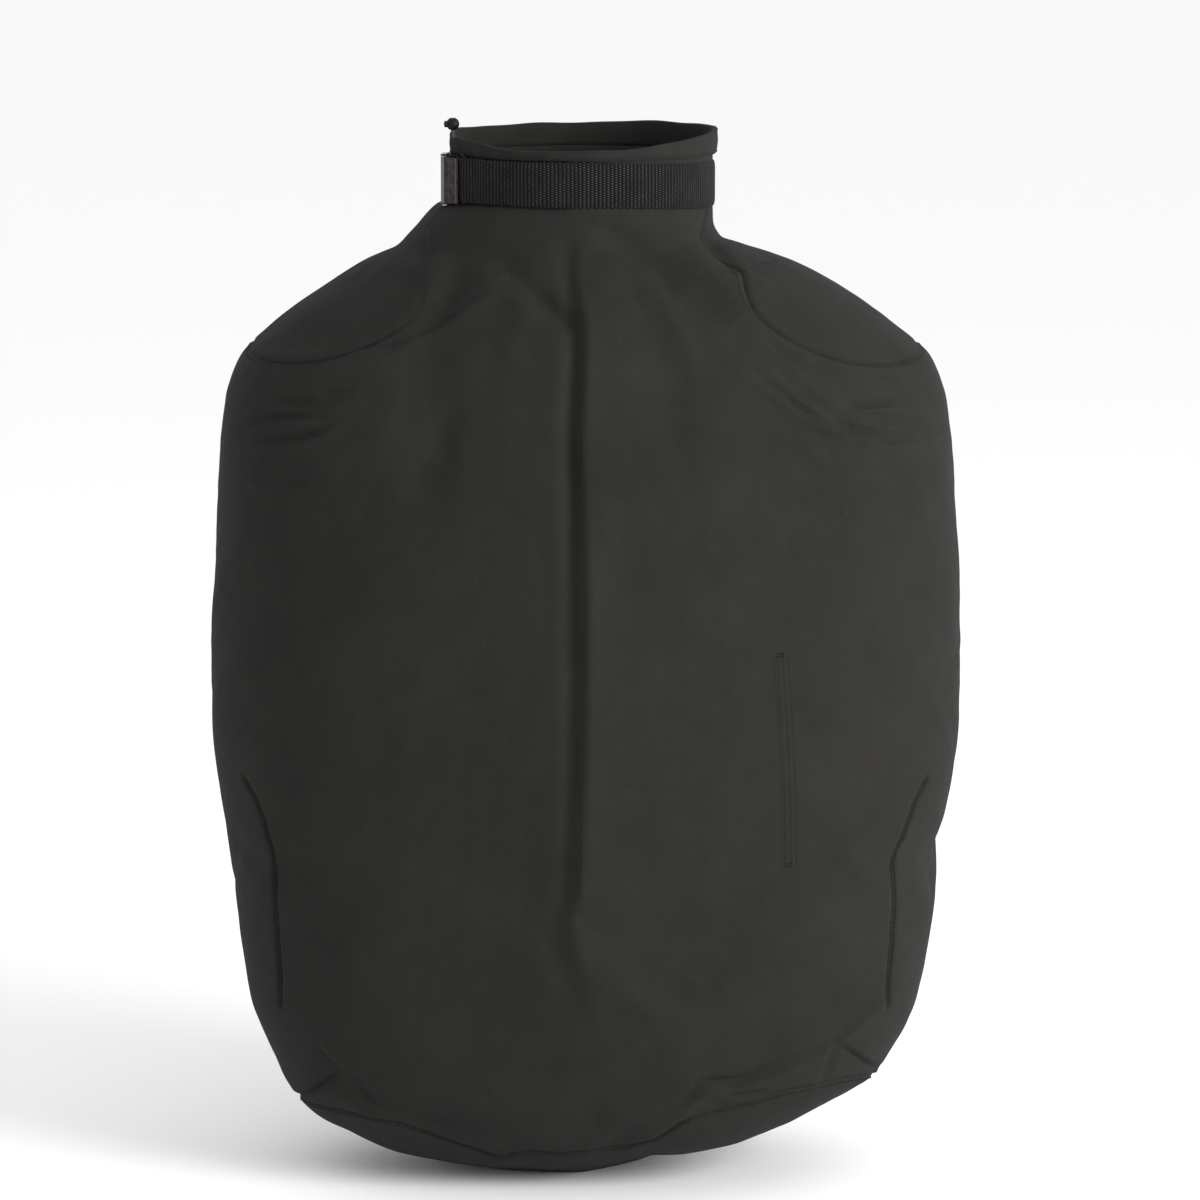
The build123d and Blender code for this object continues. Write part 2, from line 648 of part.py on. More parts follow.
# ---------------------------------------------------------------- cord lock
lock_centre = polar(CORD_RING, CORD_EXIT_ANGLE, LOCK_HEIGHT)
lock_plane = Plane(origin=lock_centre, x_dir=polar(1, CORD_EXIT_ANGLE + 90), z_dir=(0, 0, 1))
inward = lock_plane.y_dir
bore_plane = Plane(origin=lock_centre, x_dir=lock_plane.x_dir, z_dir=inward)
with BuildPart() as cord_lock_body:
    with Locations(lock_plane):
        Sphere(LOCK_RADIUS)
    with BuildSketch(lock_plane.offset(-LOCK_RADIUS)):
        RectangleRounded(*LOCK_PASSAGE, LOCK_PASSAGE_ROUNDING)
    extrude(amount=2 * LOCK_RADIUS, mode=Mode.SUBTRACT)
    with BuildSketch(bore_plane.offset(-LOCK_RADIUS)):
        Circle(LOCK_BORE)
    extrude(amount=LOCK_RADIUS + LOCK_BORE_DEPTH, mode=Mode.SUBTRACT)
save(cord_lock_body, "cord_lock_body")

with BuildPart() as cord_lock_plunger:
    with BuildSketch(bore_plane.offset(PLUNGER_OUT)):
        Circle(PLUNGER_RADIUS)
    extrude(amount=PLUNGER_IN - PLUNGER_OUT)
    chamfer(cord_lock_plunger.edges().sort_by(Axis(lock_centre, inward))[0], length=PLUNGER_CHAMFER)
    with BuildSketch(lock_plane.offset(-LOCK_RADIUS)):
        with Locations((0, (PLUNGER_SLOT_IN + PLUNGER_SLOT_OUT) / 2)):
            Rectangle(PLUNGER_SLOT_LENGTH, PLUNGER_SLOT_IN - PLUNGER_SLOT_OUT)
    extrude(amount=2 * LOCK_RADIUS, mode=Mode.SUBTRACT)
save(cord_lock_plunger, "cord_lock_plunger")

with BuildPart() as cord_lock_spring:
    with BuildLine():
        small_coil = Helix(
            pitch=LOCK_SPRING_PITCH,
            height=LOCK_SPRING_LENGTH,
            radius=LOCK_SPRING_RADIUS,
            center=lock_centre + inward * (PLUNGER_IN + LOCK_SPRING_GAP),
            direction=inward,
        )
    with BuildSketch(Plane(origin=small_coil @ 0, z_dir=small_coil % 0)):
        Circle(LOCK_SPRING_WIRE / 2)
    sweep(path=small_coil)
save(cord_lock_spring, "cord_lock_spring")
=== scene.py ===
import math

import bmesh
import bpy
import numpy as np
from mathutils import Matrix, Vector
from mathutils.geometry import delaunay_2d_cdt
from mathutils.kdtree import KDTree


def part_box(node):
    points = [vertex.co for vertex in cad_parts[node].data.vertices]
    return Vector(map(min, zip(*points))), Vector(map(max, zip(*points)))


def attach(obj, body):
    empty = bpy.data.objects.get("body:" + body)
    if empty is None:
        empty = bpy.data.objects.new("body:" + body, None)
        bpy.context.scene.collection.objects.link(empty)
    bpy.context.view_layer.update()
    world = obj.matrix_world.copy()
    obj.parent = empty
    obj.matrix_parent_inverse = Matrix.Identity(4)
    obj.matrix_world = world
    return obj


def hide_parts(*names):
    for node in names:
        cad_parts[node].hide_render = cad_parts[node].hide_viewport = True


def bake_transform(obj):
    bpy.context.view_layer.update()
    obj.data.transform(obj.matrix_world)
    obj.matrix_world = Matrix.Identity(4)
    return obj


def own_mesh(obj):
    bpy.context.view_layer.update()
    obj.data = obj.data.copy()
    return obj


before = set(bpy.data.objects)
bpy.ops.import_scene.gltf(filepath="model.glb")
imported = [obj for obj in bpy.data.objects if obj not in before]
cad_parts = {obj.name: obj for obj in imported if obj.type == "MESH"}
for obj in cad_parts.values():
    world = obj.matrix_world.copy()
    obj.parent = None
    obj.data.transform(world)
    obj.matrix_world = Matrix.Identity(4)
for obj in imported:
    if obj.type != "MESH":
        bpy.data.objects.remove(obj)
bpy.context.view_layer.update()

# Looks of a black cloth bag that hangs by a buckled webbing collar. Sizes are in millimetres
# until a mesh is made. The origin is on the neck's axis, +Z is up and the front faces -Y.
# The bag's surface is addressed by an angle round it (0 at the middle of the front, +90 at its
# right-hand side) and a height or a run down its side.

MM = 0.001
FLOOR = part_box("base_panel")[0][2] / MM
STRAP_LOW, STRAP_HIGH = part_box("webbing_strap")[0][2] / MM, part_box("webbing_strap")[1][2] / MM

# ------------------------------------------------------------------ outline of the bag
# height: reach to the left, right, front and back
OUTLINE = {
    -14: (111.6, 111.6, 111.6, 111.6),
    -18.5: (112.4, 112, 112.2, 112.2),
    -21.0: (119, 112.4, 113.8, 113.8),
    -25: (128, 112.5, 114.6, 114.6),
    -34: (138, 112.8, 116.5, 116.5),
    -50: (152, 119, 120.5, 121),
    -61: (162, 142, 126, 127),
    -73: (189, 184, 134, 136),
    -90: (217, 216, 147, 149),
    -125: (268, 268, 168, 168),
    -160: (301, 305, 182, 181),
    -195: (311, 316, 190, 188),
    -300: (320, 326, 198, 197),
    -461: (325, 330, 202, 201),
    -587: (311, 315, 196, 195),
    -715: (295, 297, 182, 180),
    -784: (270, 264, 160, 157),
    -796: (264, 248, 154, 150),
    -810: (254, 222, 144, 141),
    -824: (239, 196, 133, 129),
    -848: (194, 145, 108, 104),
    -866: (148, 98, 78, 74),
    -878: (104, 62, 46, 44),
}
CORNER_FULLNESS = 0.06
FRONT_SLACK = 0.94
# How far the slack underside rises above its outline, as (x, height)
UNDERSIDE_RISE = [(-300, 0), (-262, 0), (-236, 5), (-214, 4), (-190, 1), (-165, 0), (0, 0), (30, 5), (60, 9),
                  (93, 6), (133, 3), (158, 2), (190, 3), (235, 2), (262, 0), (300, 0)]

YOKE_SEAM = [(90, -141), (78, -146), (60, -151), (49, -149), (42, -140), (37, -122),
             (36, -104), (41, -84), (53, -63), (66, -42), (74, -14)]
# Gusset edge, as (angle short of the side, height); its ends follow from the base seam
GUSSET_EDGE = [(0, -478), (20, -491), (31, -514), (35.5, -565), (35, -632), (33, -700), (26, -756)]
GUSSET_TUCK = (-508, -712)
# Base seam round the bag, as (angle, height): the bag's right rides higher than its left
BASE_SEAM = [(-180, -838), (-135, -832), (-90, -815), (-67, -805), (-47, -805), (-38, -807), (-32, -816),
             (-26, -829), (-20, -842), (-12, -835), (-6, -838), (0, -836), (11, -836), (18, -822), (22, -799),
             (30, -789), (40, -778), (53, -777), (69, -783), (90, -800), (135, -828), (180, -838)]


def smooth_through(points, at):
    """Monotone cubic through (place, value) points, at an array of places."""
    xs, ys = np.array(sorted(points), float).T
    step = np.diff(xs)
    slope = np.diff(ys) / step
    tangent = np.zeros(len(xs))
    tangent[0], tangent[-1] = slope[0], slope[-1]
    for i in range(1, len(xs) - 1):
        if slope[i - 1] * slope[i] > 0:
            a, b = step[i - 1] + 2 * step[i], 2 * step[i - 1] + step[i]
            tangent[i] = (a + b) / (b / slope[i - 1] + a / slope[i])
    at = np.clip(np.asarray(at, float), xs[0], xs[-1])
    i = np.clip(np.searchsorted(xs, at, side="right") - 1, 0, len(step) - 1)
    t = (at - xs[i]) / step[i]
    return (
        (1 + 2 * t) * (1 - t) ** 2 * ys[i]
        + t * (1 - t) ** 2 * step[i] * tangent[i]
        + t * t * (3 - 2 * t) * ys[i + 1]
        + t * t * (t - 1) * step[i] * tangent[i + 1]
    )


def lerp(a, b, t):
    return a + (b - a) * t


def smoothstep(low, high, x):
    t = np.clip((np.asarray(x, float) - low) / (high - low), 0, 1)
    return t * t * (3 - 2 * t)


def curve_through(points, count):
    """Catmull-Rom curve through points of any dimension, as count points evenly spaced in parameter."""
    p = np.array(points, float)
    p = np.vstack([2 * p[0] - p[1], p, 2 * p[-1] - p[-2]])
    at = np.linspace(0, len(p) - 3 - 1e-9, count)
    i = at.astype(int)
    t = (at - i)[:, None]
    p0, p1, p2, p3 = p[i], p[i + 1], p[i + 2], p[i + 3]
    return 0.5 * (
        2 * p1 + (p2 - p0) * t + (2 * p0 - 5 * p1 + 4 * p2 - p3) * t**2 + (3 * p1 - p0 - 3 * p2 + p3) * t**3
    )


def unit(vectors):
    return vectors / np.maximum(np.linalg.norm(vectors, axis=-1, keepdims=True), 1e-9)


def lengths_along(points):
    """How far along a line each of its points is."""
    return np.concatenate([[0], np.cumsum(np.linalg.norm(np.diff(points, axis=0), axis=1))])


def read_along(points, along, at):
    """Points at other lengths along a line."""
    return np.stack([np.interp(at, along, column) for column in points.T], -1)


# Run down the side of the bag: 0 at the neck, 1 where the outline ends just above the floor
OUTLINE_HEIGHTS = np.linspace(max(OUTLINE), min(OUTLINE), 1200)
REACHES = [
    smooth_through([(z, r[i]) for z, r in OUTLINE.items()], OUTLINE_HEIGHTS) for i in range(4)
]
_MEAN_REACH = (REACHES[0] + REACHES[1]) / 2
_RUN = np.concatenate([[0], np.cumsum(np.hypot(np.diff(OUTLINE_HEIGHTS), np.diff(_MEAN_REACH)))])
OUTLINE_LENGTH = _RUN[-1]
_RUN = _RUN / OUTLINE_LENGTH


def run_at(height):
    return np.interp(-np.asarray(height, float), -OUTLINE_HEIGHTS, _RUN)


def height_at(run):
    return np.interp(run, _RUN, OUTLINE_HEIGHTS)


def strap_tilt(angle):
    """The strap sits a little lower at the neck's right."""
    turn = np.radians(angle)
    return np.where(np.sin(turn) > 0, -5.0, -1.0) * np.sin(turn) * np.abs(np.sin(turn)) ** 0.4


def form(angle, run):
    """The bag's plain full form, with no folds. Below run 1 the flat foot closes in."""
    angle = np.asarray(angle, float)
    run = np.asarray(run, float)
    turn = np.radians(angle)
    left, right, front, back = (np.interp(run, _RUN, reach) for reach in REACHES)
    side = np.where(np.sin(turn) < 0, left, right)
    face = np.where(np.cos(turn) > 0, front, back)
    z = np.interp(run, _RUN, OUTLINE_HEIGHTS)
    foot = np.clip(run - 1, 0, None) * OUTLINE_LENGTH
    shrink = np.clip(1 - foot / 70, 0, 1)
    full = 1 + CORNER_FULLNESS * np.sin(2 * turn) ** 2 * smoothstep(0.06, 0.3, run)
    x = side * np.sin(turn) * full * shrink
    y = -face * np.cos(turn) * full * shrink
    y = np.where(np.cos(turn) > 0, y * lerp(1, FRONT_SLACK, smoothstep(0.12, 0.35, run)), y)
    z = z - 2.0 * (1 - shrink**2) + strap_tilt(angle) * (1 - smoothstep(0.0, 0.07, run))
    rise = np.interp(x, *np.array(UNDERSIDE_RISE, float).T)
    z = z + rise * smoothstep(0.86, 0.93, run) * (1 - smoothstep(0.0, 62.0, foot))
    return np.stack([x, y, z], -1)


def form_normal(angle, run):
    """Outward unit normal of the plain form."""
    d_angle, d_run = 0.4, 0.0015
    run = np.clip(run, d_run, 1.04)
    across = form(angle + d_angle, run) - form(angle - d_angle, run)
    down = form(angle, run + d_run) - form(angle, run - d_run)
    return unit(np.cross(down, across))


# ------------------------------------------------------------------ folds and creases
# Each fold is a path of (x, z) on the front. A valley sinks; a roll stands up on one side of its
# path and sinks on the other.
RIDGE = [(-1, -20), (-1, -80), (5, -130), (2, -211), (5, -315), (5, -434), (0, -567), (-8, -612)]
RIDGE_FOOT = [(-8, -612), (-3, -636), (5, -660), (12, -695), (18, -745)]
FOLD_STRENGTH = 1.8         # on every height below
FRONT_FOLDS = [
    # kind, path, height, width
    ("valley", [(-78, -60), (-44, -84), (-23, -104), (-6, -120)], 4.4, 10),
    ("valley", [(8, -34), (48, -55), (91, -87), (128, -118)], 5.6, 14),
    ("valley", [(102, -40), (110, -54), (132, -72)], 3.6, 4.5),
    ("valley", [(-177, -139), (-153, -127), (-122, -113), (-92, -93), (-72, -84)], 2.4, 3.2),
    ("roll", [(-170, -134), (-122, -106), (-78, -78)], 2.2, 11),
    ("valley", [(-226, -171), (-190, -171)], 1.2, 3.0),
    ("roll", [(-262, -184), (-240, -185), (-205, -181)], 1.8, 4.5),
    ("roll", [(-293, -213), (-267, -200), (-245, -195), (-210, -193)], 2.1, 4.5),
    ("roll", [(-275, -217), (-238, -212), (-206, -198)], 2.1, 4.5),
    ("roll", [(-285, -246), (-255, -252), (-222, -246)], 1.0, 7),
    ("roll", [(148, -126), (166, -141), (190, -155)], 1.3, 4.5),
    ("roll", [(136, -151), (163, -171), (185, -188), (209, -199), (232, -205), (260, -215), (286, -216)],
     2.5, 4.5),
    ("roll", [(156, -151), (180, -171), (197, -184), (222, -200)], 2.0, 5.5),
    ("roll", [(217, -186), (245, -184), (272, -185)], 1.7, 4.0),
    ("roll", [(224, -193), (261, -199), (290, -209), (312, -216)], 1.7, 4.5),
    ("roll", [(178, -193), (208, -226), (246, -236), (270, -254)], 1.4, 9),
    ("valley", [(230, -161), (264, -160)], 1.0, 3.0),
    ("valley", [(-264, -816), (-230, -783), (-206, -760)], 2.2, 2.6),
    ("valley", [(274, -795), (240, -758), (216, -734)], 2.3, 2.6),
    ("roll", [(-206, -762), (-218, -750), (-230, -736)], 1.1, 5),
    ("roll", [(-204, -764), (-190, -785), (-186, -800)], 1.2, 5),
    ("roll", [(-226, -770), (-180, -795), (-120, -812), (-60, -826)], 1.6, 10),
    ("roll", [(212, -738), (239, -715), (264, -702)], 1.5, 7),
    ("valley", [(208, -778), (212, -757), (218, -738)], 1.2, 4),
    ("roll", [(82, -788), (103, -769), (129, -768), (152, -761), (202, -741)], 3.6, 6),
    ("roll", [(116, -776), (136, -778), (158, -779)], 2.2, 4),
    ("roll", [(14, -628), (60, -680), (110, -706)], 1.2, 20),
]
BACK_FOLDS = [
    ("valley", [(0, -40), (-2, -300), (3, -600), (0, -820)], 1.6, 5),
    ("valley", [(-70, -60), (-100, -100), (-150, -150)], 2.6, 14),
    ("valley", [(60, -50), (110, -110), (150, -170)], 2.4, 13),
    ("roll", [(-300, -176), (-240, -200), (-190, -190)], 3.0, 8),
    ("roll", [(-300, -214), (-250, -232), (-200, -214)], 2.6, 8),
    ("roll", [(300, -180), (250, -206), (180, -180)], 3.0, 8),
    ("roll", [(304, -222), (254, -240), (196, -226)], 2.4, 9),
    ("roll", [(-160, -300), (-120, -420), (-150, -560)], 2.2, 34),
    ("roll", [(150, -330), (180, -470), (140, -620)], 2.4, 36),
    ("roll", [(-190, -770), (-110, -800), (-30, -806)], 2.6, 10),
    ("roll", [(200, -766), (120, -796), (30, -812)], 2.4, 10),
]


def along_path(x, z, path, samples=28):
    """Distance from a path, signed by side, and the share of the path's length reached."""
    line = curve_through(path, samples)
    best = np.full(x.shape, 1e9)
    signed = np.zeros(x.shape)
    share = np.zeros(x.shape)
    for i in range(samples - 1):
        (x0, z0), (x1, z1) = line[i], line[i + 1]
        dx, dz = x1 - x0, z1 - z0
        span = dx * dx + dz * dz
        t = ((x - x0) * dx + (z - z0) * dz) / span
        inside = np.clip(t, 0, 1)
        away = np.hypot(x - x0 - inside * dx, z - z0 - inside * dz)
        closer = away < best
        best = np.where(closer, away, best)
        side = np.sign((x - x0) * dz - (z - z0) * dx)
        signed = np.where(closer, away * side, signed)
        share = np.where(closer, (i + inside) / (samples - 1), share)
    return signed, share


def fold_relief(x, z, folds):
    """Height that the folds add to the front or to the back."""
    total = np.zeros(x.shape)
    for kind, path, height, width in folds:
        height = height * FOLD_STRENGTH
        away, share = along_path(x, z, path)
        fade = np.sin(np.pi * np.clip(share, 0.02, 0.98)) ** 0.7
        u = away / width
        if kind == "valley":
            total -= height * fade * np.exp(-u * u)
        else:
            total += height * fade * 1.9 * u * np.exp(-u * u)
            total -= height * 0.35 * fade * np.exp(-(u / 0.45) ** 2)
    return total


# Heights and depths of the middle fold, in mm
TENT_HEIGHT, LIP_HEIGHT, VALLEY_DEPTH = 23, 3.5, 7.0
FOOT_LIP_HEIGHT, FOOT_VALLEY_DEPTH = 5.0, 3.2


def ridge_relief(x, z):
    """The sharp fold down the middle of the front: proud on the right, a flank and a valley on the left."""
    away, share = along_path(x, z, RIDGE, 60)
    away = -away
    grow = smoothstep(0.0, 0.16, share) * (1 - 0.25 * smoothstep(0.8, 1.0, share))
    tent = TENT_HEIGHT * smoothstep(0.08, 0.35, share) * smoothstep(-850, -480, z)
    lip = LIP_HEIGHT * np.where(away > 0, np.exp(-np.hypot(away, 2) / 22),
                                np.exp(-((away / 7) ** 2) - 2 / 22))
    valley = -VALLEY_DEPTH * np.exp(-(((away + 12) / 8) ** 2)) * (0.45 + 0.55 * np.sin(np.pi * share) ** 2)
    upper = (lip + valley) * grow + tent * np.exp(-np.hypot(away, 3) / 110)
    foot_away, foot_share = along_path(x, z, RIDGE_FOOT, 30)
    foot_away = -foot_away
    fading = (1 - smoothstep(0.1, 1.0, foot_share)) * 0.7
    foot = FOOT_LIP_HEIGHT * np.where(foot_away > 0, np.exp(-np.hypot(foot_away, 3) / 30),
                                      np.exp(-((foot_away / 13) ** 2) - 3 / 30))
    foot -= FOOT_VALLEY_DEPTH * np.exp(-(((foot_away + 19) / 12) ** 2))
    foot = foot * fading + tent * np.exp(-np.hypot(foot_away, 3) / 110)
    below = 1 - smoothstep(-634, -590, z)
    return upper * (1 - below) + foot * below


def value_noise(x, y, seed):
    """Smooth seeded noise between -1 and 1 with a period of 64 cells."""
    table = np.random.default_rng(seed).uniform(-1, 1, (64, 64))
    xi, yi = np.floor(x).astype(int), np.floor(y).astype(int)
    fx, fy = x - xi, y - yi
    fx, fy = fx * fx * (3 - 2 * fx), fy * fy * (3 - 2 * fy)
    a, b = table[xi % 64, yi % 64], table[(xi + 1) % 64, yi % 64]
    c, d = table[xi % 64, (yi + 1) % 64], table[(xi + 1) % 64, (yi + 1) % 64]
    return lerp(lerp(a, b, fx), lerp(c, d, fx), fy)


def edge_line(points, count=160):
    """A smooth line on the cloth as (angle, run), through (angle, height) points."""
    line = curve_through(points, count)
    return np.stack([line[:, 0], run_at(line[:, 1])], -1)


def base_seam_height(angle):
    return smooth_through(BASE_SEAM, (np.asarray(angle, float) + 180) % 360 - 180)


def gusset_points(side):
    """A gusset's edge from the top down, as (angle, height) of a right front quarter."""
    corner = float(base_seam_height(side * 90.0))
    return [(90 - a, z) for a, z in GUSSET_EDGE] + [(90, corner)]


SEAMS = []          # kind, angles, runs
for side in (-1, 1):
    for to_back in (False, True):
        for kind, points in (("yoke", YOKE_SEAM), ("gusset", gusset_points(side))):
            angle, run = edge_line(points).T
            SEAMS.append((kind, side * (180 - angle if to_back else angle), run))
    side_runs = np.linspace(float(run_at(-146)), float(run_at(-478)), 90)
    SEAMS.append(("side", np.full(90, side * 90.0), side_runs))
SEAMS.append(("back", np.full(200, 180.0), np.linspace(0.0, float(run_at(base_seam_height(0))), 200)))
around = np.linspace(-180, 180, 361)
SEAMS.append(("base", around, run_at(base_seam_height(around))))

SEAM_DEPTH = {"yoke": 2.6, "gusset": 3.6, "side": 0.5, "back": 1.8, "base": 2.6}
SEAM_WIDTH = {"yoke": 1.8, "gusset": 2.4, "side": 2.2, "back": 2.0, "base": 1.8}
SEAM_REACH = 26.0           # beyond this a seam leaves the cloth as it is
PUCKER_HEIGHT, BESIDE_HEIGHT = 0.35, 0.2


def seam_tree():
    """Every seam's points in one search tree, with each point's seam and place along it."""
    places, kinds, runs_along = [], [], []
    for kind, angle, run in SEAMS:
        points = form(angle, run)
        along = lengths_along(points)
        steps = np.arange(0, along[-1], 1.5)
        places.append(read_along(points, along, steps))
        kinds += [kind] * len(steps)
        runs_along.append(steps)
    places = np.vstack(places)
    tree = KDTree(len(places))
    for i, p in enumerate(places):
        tree.insert(p, i)
    tree.balance()
    return tree, kinds, np.concatenate(runs_along)


SEAM_TREE, SEAM_KINDS, SEAM_ALONG = seam_tree()


def seam_relief(points):
    """How far the cloth sinks into the seams, with the puckers that the stitching draws up."""
    flat = points.reshape(-1, 3)
    out = np.zeros(len(flat))
    for i, p in enumerate(flat):
        _, j, away = SEAM_TREE.find(p)
        if away > SEAM_REACH:
            continue
        kind = SEAM_KINDS[j]
        u = away / SEAM_WIDTH[kind]
        dip = -SEAM_DEPTH[kind] * math.exp(-u * u)
        if kind == "gusset" and not GUSSET_TUCK[1] < p[2] < GUSSET_TUCK[0]:
            continue
        if kind == "yoke":        # drawn in less at the bag's side, and at its left beside the neck
            dip *= 1 - 0.85 * smoothstep(270, 300, abs(p[0]))
            if p[0] < 0:
                dip *= 1 - 0.8 * smoothstep(-132, -112, p[2])
        along = SEAM_ALONG[j]
        pucker = math.sin(along / 4.1) * math.sin(along / 13.7 + 1.3)
        beside = BESIDE_HEIGHT * math.exp(-(((away - 6) / 4.5) ** 2))
        out[i] = dip + beside + PUCKER_HEIGHT * pucker * math.exp(-away / 9)
    return out.reshape(points.shape[:-1])


drape = None      # settled cloth's shift from the form, in mm, by run and by angle; set by settle_cloth()


def spline_weights(t):
    """The four weights of a cubic B-spline at t between its middle two points."""
    return (1 - t) ** 3 / 6, (3 * t**3 - 6 * t**2 + 4) / 6, (-3 * t**3 + 3 * t**2 + 3 * t + 1) / 6, t**3 / 6


def drape_shift(angle, run):
    """The settled cloth's shift at any place, read smoothly from the coarse grid."""
    shift = np.zeros(np.broadcast(angle, run).shape + (3,))
    if drape is None:
        return shift
    rows, cols = drape.shape[:2]
    u = (np.asarray(angle, float) + 180) / 360 % 1 * cols
    v = np.clip(np.asarray(run, float), 0, 1) * (rows - 1)
    i, j = np.floor(u).astype(int), np.floor(v).astype(int)
    for across, weight_u in enumerate(spline_weights(u - i)):
        for down, weight_v in enumerate(spline_weights(v - j)):
            place = np.clip(j + down - 1, 0, rows - 1), (i + across - 1) % cols
            shift += drape[place] * (weight_u * weight_v)[..., None]
    return shift


WIDE_UNEVENNESS, FINE_UNEVENNESS = 1.2, 0.35


def skin(angle, run, lift=0.0):
    """The bag's outer surface with its folds, seams and settled shape, lifted along its normal."""
    angle, run = np.broadcast_arrays(np.asarray(angle, float), np.asarray(run, float))
    base = form(angle, run)
    normal = form_normal(angle, run)
    x, y, z = base[..., 0], base[..., 1], base[..., 2]
    facing = np.cos(np.radians(angle))
    front = smoothstep(0.05, 0.35, facing)
    back = smoothstep(0.05, 0.35, -facing)
    relief = front * (fold_relief(x, z, FRONT_FOLDS) + ridge_relief(x, z))
    relief += back * fold_relief(x, z, BACK_FOLDS)
    relief += WIDE_UNEVENNESS * value_noise(x / 46 + 9, z / 58 + y / 60, 3)
    relief += FINE_UNEVENNESS * value_noise(x / 15, z / 17 + y / 18, 4)
    relief *= smoothstep(0.0, 0.03, run) * (1 - smoothstep(0.985, 1.0, run))
    relief += seam_relief(base)
    return base + normal * (relief + lift)[..., None] + drape_shift(angle, run)


# ------------------------------------------------------------------ meshes
def new_object(name, points, faces, uvs=None):
    """A mesh object from points in millimetres; uvs are one pair per point, in millimetres."""
    mesh = bpy.data.meshes.new(name)
    mesh.from_pydata((np.asarray(points, float).reshape(-1, 3) * MM).tolist(), [], faces)
    mesh.polygons.foreach_set("use_smooth", [True] * len(mesh.polygons))
    if uvs is not None:
        layer = mesh.uv_layers.new(name="cloth")
        corner = np.zeros(len(mesh.loops), int)
        mesh.loops.foreach_get("vertex_index", corner)
        layer.data.foreach_set("uv", np.asarray(uvs, float).reshape(-1, 2)[corner].ravel())
    mesh.update()
    obj = bpy.data.objects.new(name, mesh)
    bpy.context.scene.collection.objects.link(obj)
    return obj


def grid_faces(rows, cols, wrap=False, flip=False):
    faces = []
    for r in range(rows - 1):
        for c in range(cols if wrap else cols - 1):
            d = (c + 1) % cols
            quad = (r * cols + c, (r + 1) * cols + c, (r + 1) * cols + d, r * cols + d)
            faces.append(quad[::-1] if flip else quad)
    return faces


def cloth_lengths(grid):
    """Thread directions for a grid of points: how far each point is along its row and its column."""
    across = np.linalg.norm(np.diff(grid, axis=1), axis=-1)
    down = np.linalg.norm(np.diff(grid, axis=0), axis=-1)
    u = np.concatenate([np.zeros((grid.shape[0], 1)), np.cumsum(across, axis=1)], axis=1)
    u -= u[:, -1:] * 0.5
    v = np.concatenate([np.zeros((1, grid.shape[1])), np.cumsum(down, axis=0)], axis=0)
    return np.stack([u, v], -1)


def grid_object(name, grid, wrap=False, flip=False):
    rows, cols = grid.shape[:2]
    return new_object(name, grid, grid_faces(rows, cols, wrap, flip), cloth_lengths(grid))


DRAPE_ROWS, DRAPE_COLS = 90, 120
DRAPE_FRAMES = 26
DRAPE_CAP = 8.0             # the most that the cloth may move, in mm
DRAPE_KEEP = 0.22           # share of the slow, wide part of the settling that is kept


def blurred(grid, passes):
    """The grid smoothed, wrapping round the bag."""
    for _ in range(passes):
        grid = (np.roll(grid, 1, axis=1) + 2 * grid + np.roll(grid, -1, axis=1)) / 4
        padded = np.concatenate([grid[:1], grid, grid[-1:]])
        grid = (padded[:-2] + 2 * grid + padded[2:]) / 4
    return grid


def settle_cloth():
    """Let the empty shell settle under its own weight and the air in it, held at its neck and foot."""
    runs = np.linspace(0, 1, DRAPE_ROWS)[:, None]
    angles = np.linspace(-180, 180, DRAPE_COLS, endpoint=False)[None]
    start = form(angles, runs)
    shell = new_object("settling_shell", start.reshape(-1, 3), grid_faces(DRAPE_ROWS, DRAPE_COLS, wrap=True))
    held = shell.vertex_groups.new(name="held")
    held.add(list(range(3 * DRAPE_COLS)), 1.0, "REPLACE")
    held.add(list(range((DRAPE_ROWS - 2) * DRAPE_COLS, DRAPE_ROWS * DRAPE_COLS)), 1.0, "REPLACE")
    cloth = shell.modifiers.new("cloth", "CLOTH")
    settings = cloth.settings
    settings.vertex_group_mass = "held"
    settings.quality = 6
    settings.mass = 0.12
    settings.air_damping = 2.0
    settings.tension_stiffness = settings.compression_stiffness = 25
    settings.shear_stiffness = 8
    settings.bending_stiffness = 0.25
    settings.shrink_min = -0.02
    settings.use_pressure = True
    settings.uniform_pressure_force = 3.2
    settings.effector_weights.gravity = 0.12
    cloth.collision_settings.use_collision = False
    cloth.point_cache.frame_start, cloth.point_cache.frame_end = 1, DRAPE_FRAMES
    scene = bpy.context.scene
    first = scene.frame_current
    for frame_number in range(1, DRAPE_FRAMES + 1):
        scene.frame_set(frame_number)
    settled_mesh = shell.evaluated_get(bpy.context.evaluated_depsgraph_get()).data
    settled = np.empty(3 * len(settled_mesh.vertices))
    settled_mesh.vertices.foreach_get("co", settled)
    settled = settled.reshape(start.shape) / MM
    bpy.data.objects.remove(shell)
    scene.frame_set(first)
    shift = settled - start
    shift -= (1 - DRAPE_KEEP) * blurred(shift, 40)
    size = np.linalg.norm(shift, axis=-1, keepdims=True)
    shift *= DRAPE_CAP * np.tanh(size / DRAPE_CAP) / np.maximum(size, 1e-6)
    shift *= (smoothstep(0.02, 0.12, runs) * (1 - smoothstep(0.9, 0.99, runs)))[..., None]
    shift[..., 2] = np.maximum(shift[..., 2], FLOOR + 1 - start[..., 2])
    return shift


def thicken(obj, thickness):
    """Gives a sheet its thickness, inward, and applies it."""
    modifier = obj.modifiers.new("cloth thickness", "SOLIDIFY")
    modifier.thickness = thickness * MM
    modifier.offset = -1
    modifier.use_even_offset = False
    apply_modifiers(obj)
    obj.data.set_sharp_from_angle(angle=math.radians(50))


